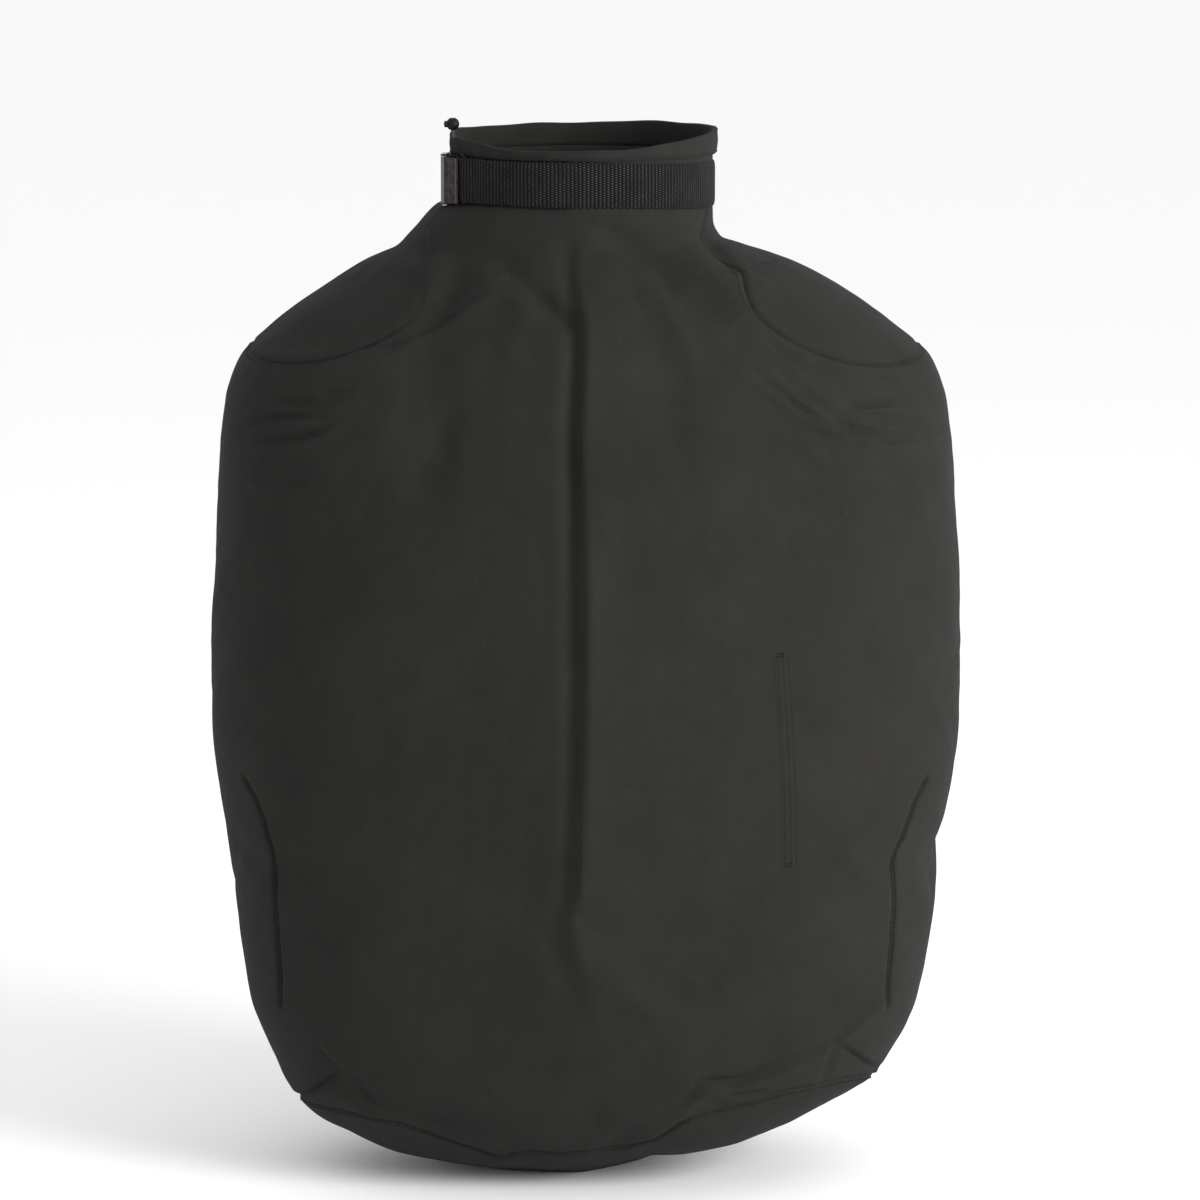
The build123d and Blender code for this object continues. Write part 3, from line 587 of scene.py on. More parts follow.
def apply_modifiers(obj):
    depsgraph = bpy.context.evaluated_depsgraph_get()
    result = bpy.data.meshes.new_from_object(obj.evaluated_get(depsgraph))
    obj.modifiers.clear()
    old = obj.data
    obj.data = result
    bpy.data.meshes.remove(old)


def resample(points, count):
    """Even spacing along a path of (angle, run) points, as lengths on the bag's form."""
    points = np.asarray(points, float)
    places = form(points[:, 0], points[:, 1])
    along = lengths_along(places)
    return read_along(points, along, np.linspace(0, along[-1], count))


def mirror_place(points, side, front):
    """Takes (angle, run) points of the front right quarter to another quarter."""
    out = points.copy()
    if not front:
        out[..., 0] = 180 - out[..., 0]
    out[..., 0] *= side
    return out


# Length round the bag from the middle of the front, on a table of runs and angles
GIRTH_RUNS = np.linspace(0, 1, 160)
GIRTH_ANGLES = np.linspace(-180, 180, 361)
GIRTH_GRID = form(GIRTH_ANGLES[None], GIRTH_RUNS[:, None])
GIRTH = np.cumsum(np.linalg.norm(np.diff(GIRTH_GRID, axis=1), axis=-1), axis=1)
GIRTH = np.concatenate([np.zeros((len(GIRTH_RUNS), 1)), GIRTH], axis=1)
GIRTH -= GIRTH[:, 180:181]


def cloth_map(angle, run):
    """Cloth coordinates in millimetres: round the bag and down it."""
    angle = (np.asarray(angle, float) + 180) % 360.0001 - 180
    row = np.clip(np.asarray(run, float), 0, 1) * (len(GIRTH_RUNS) - 1)
    i = np.clip(np.floor(row).astype(int), 0, len(GIRTH_RUNS) - 2)
    column = np.clip(angle + 180, 0, 360)
    j = np.clip(np.floor(column).astype(int), 0, 359)
    fr, fc = row - i, column - j
    upper = lerp(GIRTH[i, j], GIRTH[i, j + 1], fc)
    lower = lerp(GIRTH[i + 1, j], GIRTH[i + 1, j + 1], fc)
    return np.stack([lerp(upper, lower, fr), np.asarray(run, float) * OUTLINE_LENGTH], -1)


def inside_loop(points, loop):
    """Which 2-D points lie inside a closed loop of points."""
    x, y = points[:, 0], points[:, 1]
    result = np.zeros(len(points), bool)
    for (x0, y0), (x1, y1) in zip(loop, np.roll(loop, -1, axis=0)):
        if y0 == y1:
            continue
        crosses = (y0 > y) != (y1 > y)
        result ^= crosses & (x < x0 + (y - y0) / (y1 - y0) * (x1 - x0))
    return result


FLAT_SCALE = 3.4      # millimetres for a degree, in the flat space where pieces are triangulated


def cloth_patch(edges, spacing):
    """Fills a loop of (angle, run) edges with triangles. Each edge starts where the last one ends."""
    loop = []
    for edge in edges:
        edge = np.asarray(edge, float)
        places = form(edge[:, 0], edge[:, 1])
        length = np.sum(np.linalg.norm(np.diff(places, axis=0), axis=1))
        loop.append(resample(edge, max(3, int(length / spacing) + 1))[:-1])
    loop = np.vstack(loop)
    flatten = np.array([FLAT_SCALE, OUTLINE_LENGTH])
    flat_loop = loop * flatten
    rows = []
    low, high = loop.min(0), loop.max(0)
    for k, run in enumerate(np.arange(low[1], high[1], spacing / OUTLINE_LENGTH)):
        round_length = cloth_map(high[0], run)[0] - cloth_map(low[0], run)[0]
        count = max(2, int(abs(round_length) / spacing))
        step = (high[0] - low[0]) / count
        angles = low[0] + step * (np.arange(count) + (0.5 if k % 2 else 0.0))
        rows.append(np.stack([angles, np.full(count, run)], -1))
    inner = np.vstack(rows)
    flat_inner = inner * flatten
    keep = inside_loop(flat_inner, flat_loop)
    inner, flat_inner = inner[keep], flat_inner[keep]
    near = KDTree(len(flat_loop))
    for i, p in enumerate(form(loop[:, 0], loop[:, 1])):
        near.insert(p, i)
    near.balance()
    spots = form(inner[:, 0], inner[:, 1])
    clear = np.array([near.find(p)[2] > spacing * 0.55 for p in spots])
    places = np.vstack([loop, inner[clear]])
    flat = places * flatten
    result = delaunay_2d_cdt([Vector(p) for p in flat], [], [list(range(len(loop)))], 1, 1e-5)
    flat_out = np.array([tuple(p) for p in result[0]])
    return flat_out / flatten, [tuple(f) for f in result[2]]


def panel_edges(side, front):
    """A panel's edges, placed as the front right one's: side, gusset, base seam, middle, neck and yoke."""
    yoke = edge_line(YOKE_SEAM, 120)
    gusset = edge_line(gusset_points(side))
    down = np.stack([np.full(60, 90.0), np.linspace(yoke[0, 1], gusset[0, 1], 60)], -1)
    angles = np.linspace(90, 0, 120)
    real_angles = side * (angles if front else 180 - angles)
    base = np.stack([angles, run_at(base_seam_height(real_angles))], -1)
    base[0] = gusset[-1]
    middle = np.stack([np.zeros(160), np.linspace(base[-1, 1], 0, 160)], -1)
    neck = np.stack([np.linspace(0, yoke[-1, 0], 40), np.zeros(40)], -1)
    return [down, gusset, base, middle, neck, yoke[::-1]]


drape = settle_cloth()

# ------------------------------------------------------------------ materials
class Graph:
    """A new material's nodes, with short ways to add to them. Values go on sockets; outputs are joined."""

    def __init__(self, name, finish):
        self.material = bpy.data.materials.new(name)
        self.material.use_nodes = True
        self.tree = self.material.node_tree
        self.shader = self.tree.nodes["Principled BSDF"]
        for socket, value in finish.items():
            self.shader.inputs[socket].default_value = value
        self.place = self.add("ShaderNodeTexCoord").outputs["Object"]

    def put(self, socket, value):
        if isinstance(value, bpy.types.NodeSocket):
            self.tree.links.new(value, socket)
        elif value is not None:
            socket.default_value = value

    def add(self, kind, settings=(), **inputs):
        made = self.tree.nodes.new(kind)
        for key, value in settings:
            setattr(made, key, value)
        for key, value in inputs.items():
            self.put(made.inputs[key], value)
        return made

    def math(self, operation, a, b=None):
        made = self.add("ShaderNodeMath", [("operation", operation)])
        self.put(made.inputs[0], a)
        self.put(made.inputs[1], b)
        return made.outputs[0]

    def times(self, a, b):
        return self.math("MULTIPLY", a, b)

    def plus(self, a, b):
        return self.math("ADD", a, b)

    def wave(self, value, pitch):
        """Rounded ridges, one for each pitch."""
        return self.math("SINE", self.times(value, math.pi / pitch))

    def cloth_axes(self):
        """The cloth map, in millimetres, and its two axes."""
        uv = self.add("ShaderNodeUVMap", [("uv_map", "cloth")]).outputs["UV"]
        split = self.add("ShaderNodeSeparateXYZ", Vector=uv).outputs
        return uv, split["X"], split["Y"]

    def mapped(self, vector, **change):
        return self.add("ShaderNodeMapping", Vector=vector, **change).outputs["Vector"]

    def noise(self, scale, detail, roughness=0.5, vector=None):
        made = self.add("ShaderNodeTexNoise", Vector=vector or self.place, Scale=scale, Detail=detail,
                        Roughness=roughness)
        return made.outputs["Fac"]

    def ramp(self, factor, stops):
        made = self.add("ShaderNodeValToRGB", Fac=factor)
        elements = made.color_ramp.elements
        while len(elements) < len(stops):
            elements.new(0.5)
        for element, (position, colour) in zip(elements, stops):
            element.position, element.color = position, (*colour, 1)
        return made.outputs["Color"]

    def mix(self, factor, a, b, blend="MIX"):
        made = self.add("ShaderNodeMix", [("data_type", "RGBA"), ("blend_type", blend)])
        for socket, value in ((0, factor), (6, a), (7, b)):
            self.put(made.inputs[socket], value)
        return made.outputs[2]

    def bump(self, height, strength, distance, under=None):
        made = self.add("ShaderNodeBump", Height=height, Strength=strength, Distance=distance, Normal=under)
        return made.outputs["Normal"]

    def finish(self, colour, normal, roughness=None):
        for socket, value in (("Base Color", colour), ("Normal", normal), ("Roughness", roughness)):
            self.put(self.shader.inputs[socket], value)
        return self.material


def cloth_material(name, dark, light, pitch=0.85, lint=0.12):
    """Heavy cotton: plain weave, slubs, rubbed and faded patches and a little lint, with painted shade
    between the threads and a painted highlight on their tops.
    """
    g = Graph(name, {"Roughness": 0.9, "Specular IOR Level": 0.12, "Sheen Weight": 0.015,
                     "Sheen Roughness": 0.5, "Sheen Tint": (0.6, 0.6, 0.6, 1)})
    uv, u, v = g.cloth_axes()
    warp, weft = g.wave(u, pitch), g.wave(v, pitch)
    crossing = g.times(warp, weft)
    weave = g.plus(g.times(g.math("GREATER_THAN", crossing, 0.0), g.math("ABSOLUTE", warp)),
                   g.times(g.math("LESS_THAN", crossing, 0.0), g.math("ABSOLUTE", weft)))
    slub = g.noise(1.0, 2.0, vector=g.mapped(uv, Scale=(0.05, 0.7, 1.0)))
    fade, blotch = g.noise(11.0, 4.0, 0.6), g.noise(46.0, 3.0, 0.55)
    worn = g.plus(g.plus(g.times(fade, 0.55), g.times(blotch, 0.25)), g.times(slub, 0.2))
    # The weave's height scales the colour: darker in the gaps between threads as painted shade, lighter on
    # the thread tops as a painted highlight.
    threads = g.mix(1.0, g.ramp(worn, [(0.38, dark), (0.64, light)]),
                    g.ramp(weave, [(0.0, (0.62,) * 3), (0.8, (1.08,) * 3)]), "MULTIPLY")
    cells = g.add("ShaderNodeTexVoronoi", Vector=g.place, Scale=120.0).outputs["Distance"]
    speck = g.times(g.math("LESS_THAN", cells, 0.07), g.math("GREATER_THAN", g.noise(60.0, 1.0), 0.6))
    colour = g.mix(g.times(speck, lint), threads, (0.22, 0.215, 0.2, 1))
    crumple = g.bump(g.noise(85.0, 3.0), 0.35, 0.0016)
    return g.finish(colour, g.bump(g.plus(weave, g.times(slub, 1.2)), 0.5, 0.0003, crumple))


def webbing_material(name, dark, light, rib, dot, bump, rough):
    """Ribbed webbing: each rib across it is a row of thick yarn turns, staggered from the next. Its colour is
    painted light: light on the yarn crowns as a painted highlight, dark between them as painted shade.
    """
    g = Graph(name, {"Roughness": rough, "Specular IOR Level": 0.1})
    _, u, v = g.cloth_axes()
    stagger = g.times(g.math("FLOOR", g.math("DIVIDE", u, rib)), math.pi / 2)
    ribs = g.math("ABSOLUTE", g.wave(u, rib))
    dots = g.math("ABSOLUTE", g.math("SINE", g.plus(g.times(v, math.pi / dot), stagger)))
    height = g.times(g.math("POWER", ribs, 0.7), g.math("POWER", dots, 0.8))
    # Painted highlight on the yarn crowns; the low end of the ramp is painted shade between the yarns.
    crown_highlight = g.times(g.math("POWER", ribs, 2.5), g.math("POWER", dots, 2.0))
    tone = g.times(crown_highlight, g.plus(g.noise(90.0, 3.0), 0.45))
    middle = tuple(lerp(a, b, 0.2) for a, b in zip(dark, light))
    return g.finish(g.ramp(tone, [(0.1, dark), (0.5, middle), (0.85, light)]), g.bump(height, 0.9, bump))


def thread_material(name, colour):
    """Twisted sewing thread, with painted shade in the grooves of its twist."""
    g = Graph(name, {"Roughness": 0.7, "Specular IOR Level": 0.15})
    twist = g.add("ShaderNodeTexWave", [("bands_direction", "DIAGONAL")], Vector=g.place, Scale=900.0,
                  Distortion=1.0).outputs["Fac"]
    # Darker in the twist's grooves, lighter on its ridges: painted shade and painted highlight.
    tone = g.ramp(twist, [(0, tuple(c * 0.6 for c in colour)), (1, colour)])
    return g.finish(tone, g.bump(twist, 0.5, 0.0002))


def steel_material(name, dark, light, rough_low, rough_high):
    """Plated or plain steel with fine scratches and a few dull patches."""
    g = Graph(name, {"Metallic": 1.0})
    scratch = g.noise(1.0, 4.0, 0.7, g.mapped(g.place, Scale=(900.0, 30.0, 900.0)))
    rough = g.plus(g.times(scratch, rough_high - rough_low), rough_low)
    tone = g.ramp(g.noise(160.0, 3.0), [(0.35, dark), (0.6, light)])
    return g.finish(tone, g.bump(scratch, 0.25, 0.0001), rough)


def nylon_material(name, colour):
    """Moulded nylon, finely grained and scuffed."""
    g = Graph(name, {"Specular IOR Level": 0.14})
    scuff = g.noise(260.0, 4.0)
    tone = g.ramp(scuff, [(0.4, colour), (0.75, tuple(c * 1.9 for c in colour))])
    return g.finish(tone, g.bump(g.noise(1400.0, 2.0), 0.2, 0.0001), g.plus(g.times(scuff, 0.3), 0.32))


def braid_material(name, dark, light):
    """Braided cord: crossed diagonal yarns, light on their crowns as a painted highlight and dark between
    them as painted shade.
    """
    g = Graph(name, {"Roughness": 0.7})
    tilts = (g.mapped(g.place, Rotation=(turn, turn * 0.5, 0.4)) for turn in (0.9, -0.9))
    yarns = [g.add("ShaderNodeTexWave", Vector=tilt, Scale=420.0).outputs["Fac"] for tilt in tilts]
    braid = g.math("MAXIMUM", *yarns)
    # The ramp paints shade between the yarns and a highlight on their crowns.
    return g.finish(g.ramp(braid, [(0.2, dark), (0.9, light)]), g.bump(braid, 0.7, 0.0003))


RIB = 3.4       # pitch of the strap's ribs
BAG_CLOTH = cloth_material("bag_cloth_weave", (0.0140, 0.0136, 0.0128), (0.0182, 0.0176, 0.0165))
NECK_CLOTH = cloth_material("neck_cloth_weave", (0.0125, 0.0121, 0.0114), (0.0182, 0.0176, 0.0165), lint=0.08)
WELT_CLOTH = cloth_material("welt_cloth_weave", (0.0135, 0.0131, 0.0124), (0.0178, 0.0172, 0.0162), 0.7, 0.05)
SEAM_TAPE = cloth_material("seam_tape_twill", (0.011, 0.011, 0.011), (0.018, 0.018, 0.017), 1.1, 0.0)
# The strap's and the keepers' dark and light colours are painted shade between the yarns and a painted
# highlight on their crowns.
STRAP = webbing_material("strap_webbing_ribs", (0.003, 0.0029, 0.0027), (0.046, 0.0445, 0.0415), rib=RIB,
                         dot=2.0, bump=0.0007, rough=0.62)
KEEPER = webbing_material("keeper_tape_weave", (0.008, 0.008, 0.008), (0.04, 0.039, 0.038), rib=1.4, dot=1.1,
                          bump=0.0003, rough=0.75)
THREAD = thread_material("sewing_thread", (0.011, 0.0107, 0.010))
TACK_THREAD = thread_material("bar_tack_thread", (0.04, 0.039, 0.037))
# The cord's dark and light colours are painted shade between the yarns and a painted highlight on them.
CORD = braid_material("draw_cord_braid", (0.008, 0.008, 0.008), (0.05, 0.049, 0.047))
BUCKLE_METAL = steel_material("buckle_nickel", (0.015, 0.0118, 0.0112), (0.042, 0.035, 0.033), 0.2, 0.4)
PIN_STEEL = steel_material("pin_plain_steel", (0.42, 0.41, 0.4), (0.62, 0.61, 0.6), 0.2, 0.42)
SPRING_STEEL = steel_material("spring_wire_steel", (0.3, 0.3, 0.3), (0.5, 0.5, 0.5), 0.25, 0.45)
LOCK_NYLON = nylon_material("lock_nylon", (0.004, 0.004, 0.004))


def dress(obj, material, replaced):
    """Gives a piece its material and hides the frame's pieces that it stands for."""
    obj.data.materials.clear()
    obj.data.materials.append(material)
    if replaced:
        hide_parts(*replaced)


def bag_piece(obj, material, slot, *replaced):
    """A piece of the bag's body, with its place baked into its mesh."""
    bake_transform(obj)
    dress(obj, material, replaced)


def rider(obj, material, slot, body, *replaced):
    """A piece that rides on one body."""
    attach(obj, body)
    dress(obj, material, replaced)


# ------------------------------------------------------------------ the bag's cloth
CLOTH = 1.5
GRAIN = 2.9      # spacing of the cloth's points
BASE_ROWS, BASE_COLS = 70, 460
FOOT_REACH = 69.0                       # how far the base runs on past the outline's end


def outward_flip(grid):
    """Whether a grid's faces have to be turned for their normals to point out of the bag."""
    r, c = grid.shape[0] // 2, grid.shape[1] // 2
    normal = np.cross(grid[r + 1, c] - grid[r, c], grid[r, c + 1] - grid[r, c])
    return bool(np.dot(normal, grid[r, c] - np.array([0, 0, -420.0])) < 0)


def face_outward(obj, ends_down=False):
    """Turns all faces the same way, outward; ends_down says that the last face looks down."""
    mesh = bmesh.new()
    mesh.from_mesh(obj.data)
    bmesh.ops.recalc_face_normals(mesh, faces=mesh.faces)
    mesh.faces.ensure_lookup_table()
    if ends_down and mesh.faces[-1].normal.z > 0:
        bmesh.ops.reverse_faces(mesh, faces=mesh.faces)
    mesh.to_mesh(obj.data)
    mesh.free()


def cloth_piece(name, patch, side, front, replaced):
    """A sewn piece from a patch of the bag's right front, mirrored to its side and face."""
    places, faces = patch
    places = mirror_place(places, side, front)
    points = skin(places[:, 0], places[:, 1])
    sample = faces[len(faces) // 2]
    a, b, c = (points[sample[i]] for i in range(3))
    if np.dot(np.cross(b - a, c - a), form_normal(*places[sample[0]])) < 0:
        faces = [f[::-1] for f in faces]
    obj = new_object(name, points, faces, cloth_map(places[:, 0], places[:, 1]))
    thicken(obj, CLOTH)
    bag_piece(obj, BAG_CLOTH, "bag_cloth", replaced)


def yoke_edges():
    """The right yoke's edges: both halves of its seam, joined at the side, and the neck."""
    front = edge_line(YOKE_SEAM, 120)[::-1]
    back = mirror_place(front, 1, False)
    neck = np.stack([np.linspace(back[0, 0], front[0, 0], 30), np.zeros(30)], -1)
    front[0], back[0] = neck[-1], neck[0]
    return [front, back[::-1], neck]


def gusset_edges(side):
    front = edge_line(gusset_points(side), 160)
    return [front, mirror_place(front, 1, False)[::-1]]


def closed_base():
    """The base as one piece: a wrapped grid from its seam inward, with a centre point."""
    angles = np.linspace(-180, 180, BASE_COLS, endpoint=False)
    share = np.linspace(0, 1, BASE_ROWS)[:, None]
    runs = lerp(run_at(base_seam_height(angles)), 1 + FOOT_REACH / OUTLINE_LENGTH, share)
    grid = skin(angles[None], runs)
    floor_level = FLOOR + 0.4
    grid[..., 2] = np.maximum(grid[..., 2], floor_level)
    points = np.vstack([grid.reshape(-1, 3), [[grid[-1, :, 0].mean(), grid[-1, :, 1].mean(), floor_level]]])
    last, centre = (BASE_ROWS - 1) * BASE_COLS, BASE_ROWS * BASE_COLS
    faces = grid_faces(BASE_ROWS, BASE_COLS, wrap=True)
    faces += [(last + c, centre, last + (c + 1) % BASE_COLS) for c in range(BASE_COLS)]
    obj = new_object("base_cloth", points, faces, points[:, :2])
    face_outward(obj, ends_down=True)
    thicken(obj, CLOTH)
    bag_piece(obj, BAG_CLOTH, "bag_cloth", "base_panel")


yoke = cloth_patch(yoke_edges(), GRAIN)
for hand, side in (("left", -1), ("right", 1)):
    for face, front in (("front", True), ("back", False)):
        panel = cloth_patch(panel_edges(side, front), GRAIN)
        cloth_piece(f"{face}_{hand}_cloth", panel, side, front, f"{face}_{hand}_panel")
    cloth_piece(f"{hand}_yoke_cloth", yoke, side, True, f"{hand}_shoulder_yoke")
    gusset = cloth_patch(gusset_edges(side), GRAIN)
    cloth_piece(f"{hand}_gusset_cloth", gusset, side, True, f"{hand}_side_gusset")
closed_base()


# ------------------------------------------------------------------ stitching
STITCH_SHAPE = ((-1.0, 0.25), (-0.72, 0.85), (0.0, 1.0), (0.72, 0.85), (1.0, 0.25))     # place, size
# Distance of the rows of stitches from their seam
STITCH_OFFSETS = {"yoke": (4.2,), "gusset": (3.0,), "back": (4.0, 9.0), "base": (-3.6,)}


def place_at(x, z, front=True):
    """(angle, run) of the point of the bag's form at x and z, on the front or the back."""
    run = run_at(z)
    low, high = np.full(np.shape(x), -90.0), np.full(np.shape(x), 90.0)
    for _ in range(30):
        middle = (low + high) / 2
        reached = form(middle, run)[..., 0] < x
        low, high = np.where(reached, middle, low), np.where(reached, high, middle)
    angle = (low + high) / 2
    return (angle if front else 180 - angle), run


def even_steps(points, pitch):
    """Points and directions at even steps along a line of points."""
    along = lengths_along(points)
    at = np.arange(0.0, along[-1] - pitch / 2, pitch)
    spots = read_along(points, along, at)
    return spots, unit(read_along(points, along, at + 0.5) - spots)


def ring_round(centre, across, out, radius, sides):
    turn = 2 * math.pi * np.arange(sides)[:, None] / sides
    return centre + (across * np.cos(turn) + out * np.sin(turn)) * radius


def tube_faces(rings, sides, first=0, turned=False):
    """Faces of a tube through rings of points, with a cap at each end; turned reverses them."""
    faces = []
    for a in range(first, first + (rings - 1) * sides, sides):
        for c in range(sides):
            d = (c + 1) % sides
            quad = (a + c, a + sides + c, a + sides + d, a + d)
            faces.append(quad[:1] + quad[:0:-1] if turned else quad)
    start, end = (tuple(range(k, k + sides)) for k in (first, first + (rings - 1) * sides))
    return faces + ([start[::-1], end] if turned else [start, end[::-1]])


def stitch_mesh(name, lines, length=2.5, pitch=3.7, radius=0.42):
    """Every stitch of some seams as one mesh: short rounded threads that dip at their ends."""
    sides, points, faces = 6, [], []
    for line, normals in lines:
        spots, ways = even_steps(line, pitch)
        outs = read_along(normals, np.linspace(0, 1, len(line)), np.linspace(0, 1, len(spots)))
        for spot, way, out in zip(spots, ways, outs):
            out = unit(out - way * np.dot(out, way))
            across = np.cross(way, out)
            faces += tube_faces(len(STITCH_SHAPE), sides, len(points), turned=True)
            for place, size in STITCH_SHAPE:
                centre = spot + way * (place * length / 2) + out * (0.16 - 0.5 * place * place)
                points += list(ring_round(centre, across, out, radius * size, sides))
    return new_object(name, points, faces)


def thread_tube(name, lines, radius, sides=6):
    """Round threads as one mesh, from lines of points, each with its outward directions."""
    points, faces = [], []
    for line, normals in lines:
        faces += tube_faces(len(line), sides, len(points))
        for spot, way, out in zip(line, unit(np.gradient(line, axis=0)), normals):
            points += list(ring_round(spot, unit(np.cross(way, out)), out, radius, sides))
    return new_object(name, points, faces)


def on_skin(angle, run):
    """A line on the finished skin with its outward directions."""
    return skin(angle, run), form_normal(angle, run)


def shifted(angle, run, sideways):
    """A seam's line moved sideways over the form, in millimetres."""
    side = np.cross(form_normal(angle, run), unit(np.gradient(form(angle, run), axis=0)))
    d_angle, d_run = 0.3, 0.001
    by_angle = (form(angle + d_angle, run) - form(angle - d_angle, run)) / (2 * d_angle)
    by_run = (form(angle, run + d_run) - form(angle, np.maximum(run - d_run, 0))) / (2 * d_run)
    turn, drop = (np.sum(side * by, 1) / np.maximum(np.sum(by * by, 1), 1e-9)
                  for by in (by_angle, by_run))
    return angle + turn * sideways, run + drop * sideways


stitch_lines = {kind: [] for kind in STITCH_OFFSETS}
for kind, angle, run in SEAMS:
    if kind in ("yoke", "gusset"):      # the row lies on the panel's side of the seam in all four quarters
        side = 1 if (angle[60] > 0) == (abs(angle[60]) < 90) else -1
    else:
        side = 1
    if kind == "gusset":
        tuck = (height_at(run) < GUSSET_TUCK[0]) & (height_at(run) > GUSSET_TUCK[1])
        angle, run = angle[tuck], run[tuck]
    for offset in STITCH_OFFSETS.get(kind, ()):
        stitch_lines[kind].append(on_skin(*shifted(angle, run, offset * side)))
for kind, lines in stitch_lines.items():
    bag_piece(stitch_mesh(f"{kind}_seam_stitches", lines), THREAD, "thread")

# ------------------------------------------------------------------ slit, bar tacks and tapes
SLIT_TOP, SLIT_FOOT = (165.0, -388.0), (173.0, -569.0)
GUSSET_TACK_HEIGHT = -645.0
# Half of the welt's section from its opening out, as (distance across, height)
WELT_HALF = [(0.4, -0.2), (1.0, 0.25), (2.0, 0.3), (3.2, 0.2), (4.2, 0.05), (4.6, -0.3)]
TAPE_HALF = [(3, -2.3), (6, -2.3), (8.7, -2.3), (9, -2.5)]
TAPE_THICKNESS = 0.8


def both_sides(half, middle):
    """A strip's section from its right half and its middle point."""
    return [(-x, z) for x, z in half[::-1]] + [middle] + half


def strip_on_skin(name, x, z, profile, front=True):
    """A strip along a path of (x, z) on the front or the back."""
    way = np.gradient(np.stack([x, z], -1), axis=0)
    way /= np.linalg.norm(way, axis=1, keepdims=True)
    rows = []
    for across, height in profile:
        place = place_at(x + way[:, 1] * across, z - way[:, 0] * across, front)
        rows.append(skin(*place, height))
    grid = np.stack(rows, axis=1)
    return grid_object(name, grid, flip=outward_flip(grid))


def bar_tack(angle, run, length, width, turns):
    """A line of close zigzag thread across a spot on the skin, with its outward directions."""
    out = form_normal(angle, run)
    sideways = np.cross(out, [0, 0, 1.0])
    sideways /= np.linalg.norm(sideways)
    upright = np.cross(sideways, out)
    k = np.arange(turns * 2 + 1)[:, None]
    zigzag = sideways * ((k / (turns * 2) - 0.5) * length)
    zigzag = zigzag + upright * np.where(k % 2, width / 2, -width / 2)
    return skin(angle, run, 0.5) + zigzag, np.repeat(out[None], len(k), 0)


def bar_tacks(name, places, size, material, replaced):
    tacks = [bar_tack(float(angle), float(run), *size) for angle, run in places]
    bag_piece(thread_tube(name, tacks, 0.5), material, "thread", replaced)


slit_share = np.linspace(0, 1, 130)
slit_x = lerp(SLIT_TOP[0], SLIT_FOOT[0], slit_share) + 1.6 * np.sin(slit_share * math.pi)
slit_z = lerp(SLIT_TOP[1], SLIT_FOOT[1], slit_share)
welt = strip_on_skin("slit_welt_binding", slit_x, slit_z, both_sides(WELT_HALF, (0.0, -1.5)))
bag_piece(welt, WELT_CLOTH, "welt_cloth", "slit_welt")
welt_lines = [on_skin(*place_at(slit_x + offset, slit_z)) for offset in (-6.0, 6.0)]
welt_stitches = stitch_mesh("slit_welt_stitches", welt_lines, length=2.0, pitch=3.0, radius=0.36)
bag_piece(welt_stitches, THREAD, "thread")
slit_ends = [place_at(*np.array(end)) for end in (SLIT_TOP, SLIT_FOOT)]
bar_tacks("slit_tack_threads", slit_ends, (6.5, 2.2, 9), TACK_THREAD, "slit_bar_tacks")
gusset_reach = float(smooth_through([(-z, a) for a, z in GUSSET_EDGE], -GUSSET_TACK_HEIGHT))
gusset_spots = [(s * (90 - gusset_reach), run_at(GUSSET_TACK_HEIGHT)) for s in (-1, 1)]
bar_tacks("gusset_tack_threads", gusset_spots, (20.0, 2.2, 16), THREAD, "gusset_bar_tacks")

tape_z = np.linspace(-50, -808, 240)
tape_section = both_sides(TAPE_HALF, (0, -2.3))
tapes = {}
for face, front in (("front", True), ("back", False)):
    tapes[face] = strip_on_skin(f"{face}_tape_strip", np.zeros(240), tape_z, tape_section, front)
for hand, side in (("left", -1), ("right", 1)):
    runs = np.linspace(float(run_at(-142)), float(run_at(-481)), 120)
    half = math.degrees(9 / 200)
    grid = skin(side * (90 + np.linspace(-half, half, 7))[None], runs[:, None], -1.7)
    tapes[hand] = grid_object(f"{hand}_tape_strip", grid, flip=outward_flip(grid))
for where, tape in tapes.items():
    thicken(tape, TAPE_THICKNESS)
    bag_piece(tape, SEAM_TAPE, "seam_tape", f"{where}_seam_tape")

# ------------------------------------------------------------------ neck
CORD_EXIT = 195.7 - 270.0       # the record's angles run from the right-hand side, these from the front
HEM_FACE, HEM_INSIDE, HEM_FOOT = 115.3, 110.4, 20.0
RIM_ROUND = 1.8
# The hem's lower edge, as (radius, share of the bulge, height)
HEM_EDGE = [(112.9, 0.0, 20.0), (114.0, 0.15, 20.3), (114.7, 0.55, 21.6)]


def rim_height(angle):
    """The neck's upper rim: low in front, higher at the sides and back, with a dip at the cord's exit."""
    turn = np.radians(angle)
    wave = 0.5 * np.sin(3 * turn + 0.6) + 0.5 * np.sin(7 * turn + 2) + 0.25 * np.sin(13 * turn)
    rim = 41.0 - 12.6 * np.clip(np.cos(turn), 0, 1) ** 1.4 + 1.8 * np.sin(turn) + wave
    return lerp(rim, 35.6, np.exp(-(((angle - CORD_EXIT) / 4.5) ** 2)))


def ring_point(radius, angle, z):
    turn = np.radians(angle)
    return np.stack(np.broadcast_arrays(radius * np.sin(turn), -radius * np.cos(turn), z), -1)


def neck_ring(name, profile_rows, replaced):
    """A closed ring of cloth from rows of (radius, height) arrays over the neck's angles."""
    rows = [ring_point(radius, neck_angles, height) for radius, height in profile_rows + profile_rows[:1]]
    obj = grid_object(name, np.stack(rows), wrap=True)
    face_outward(obj)
    rider(obj, NECK_CLOTH, "neck_cloth", "bag", replaced)


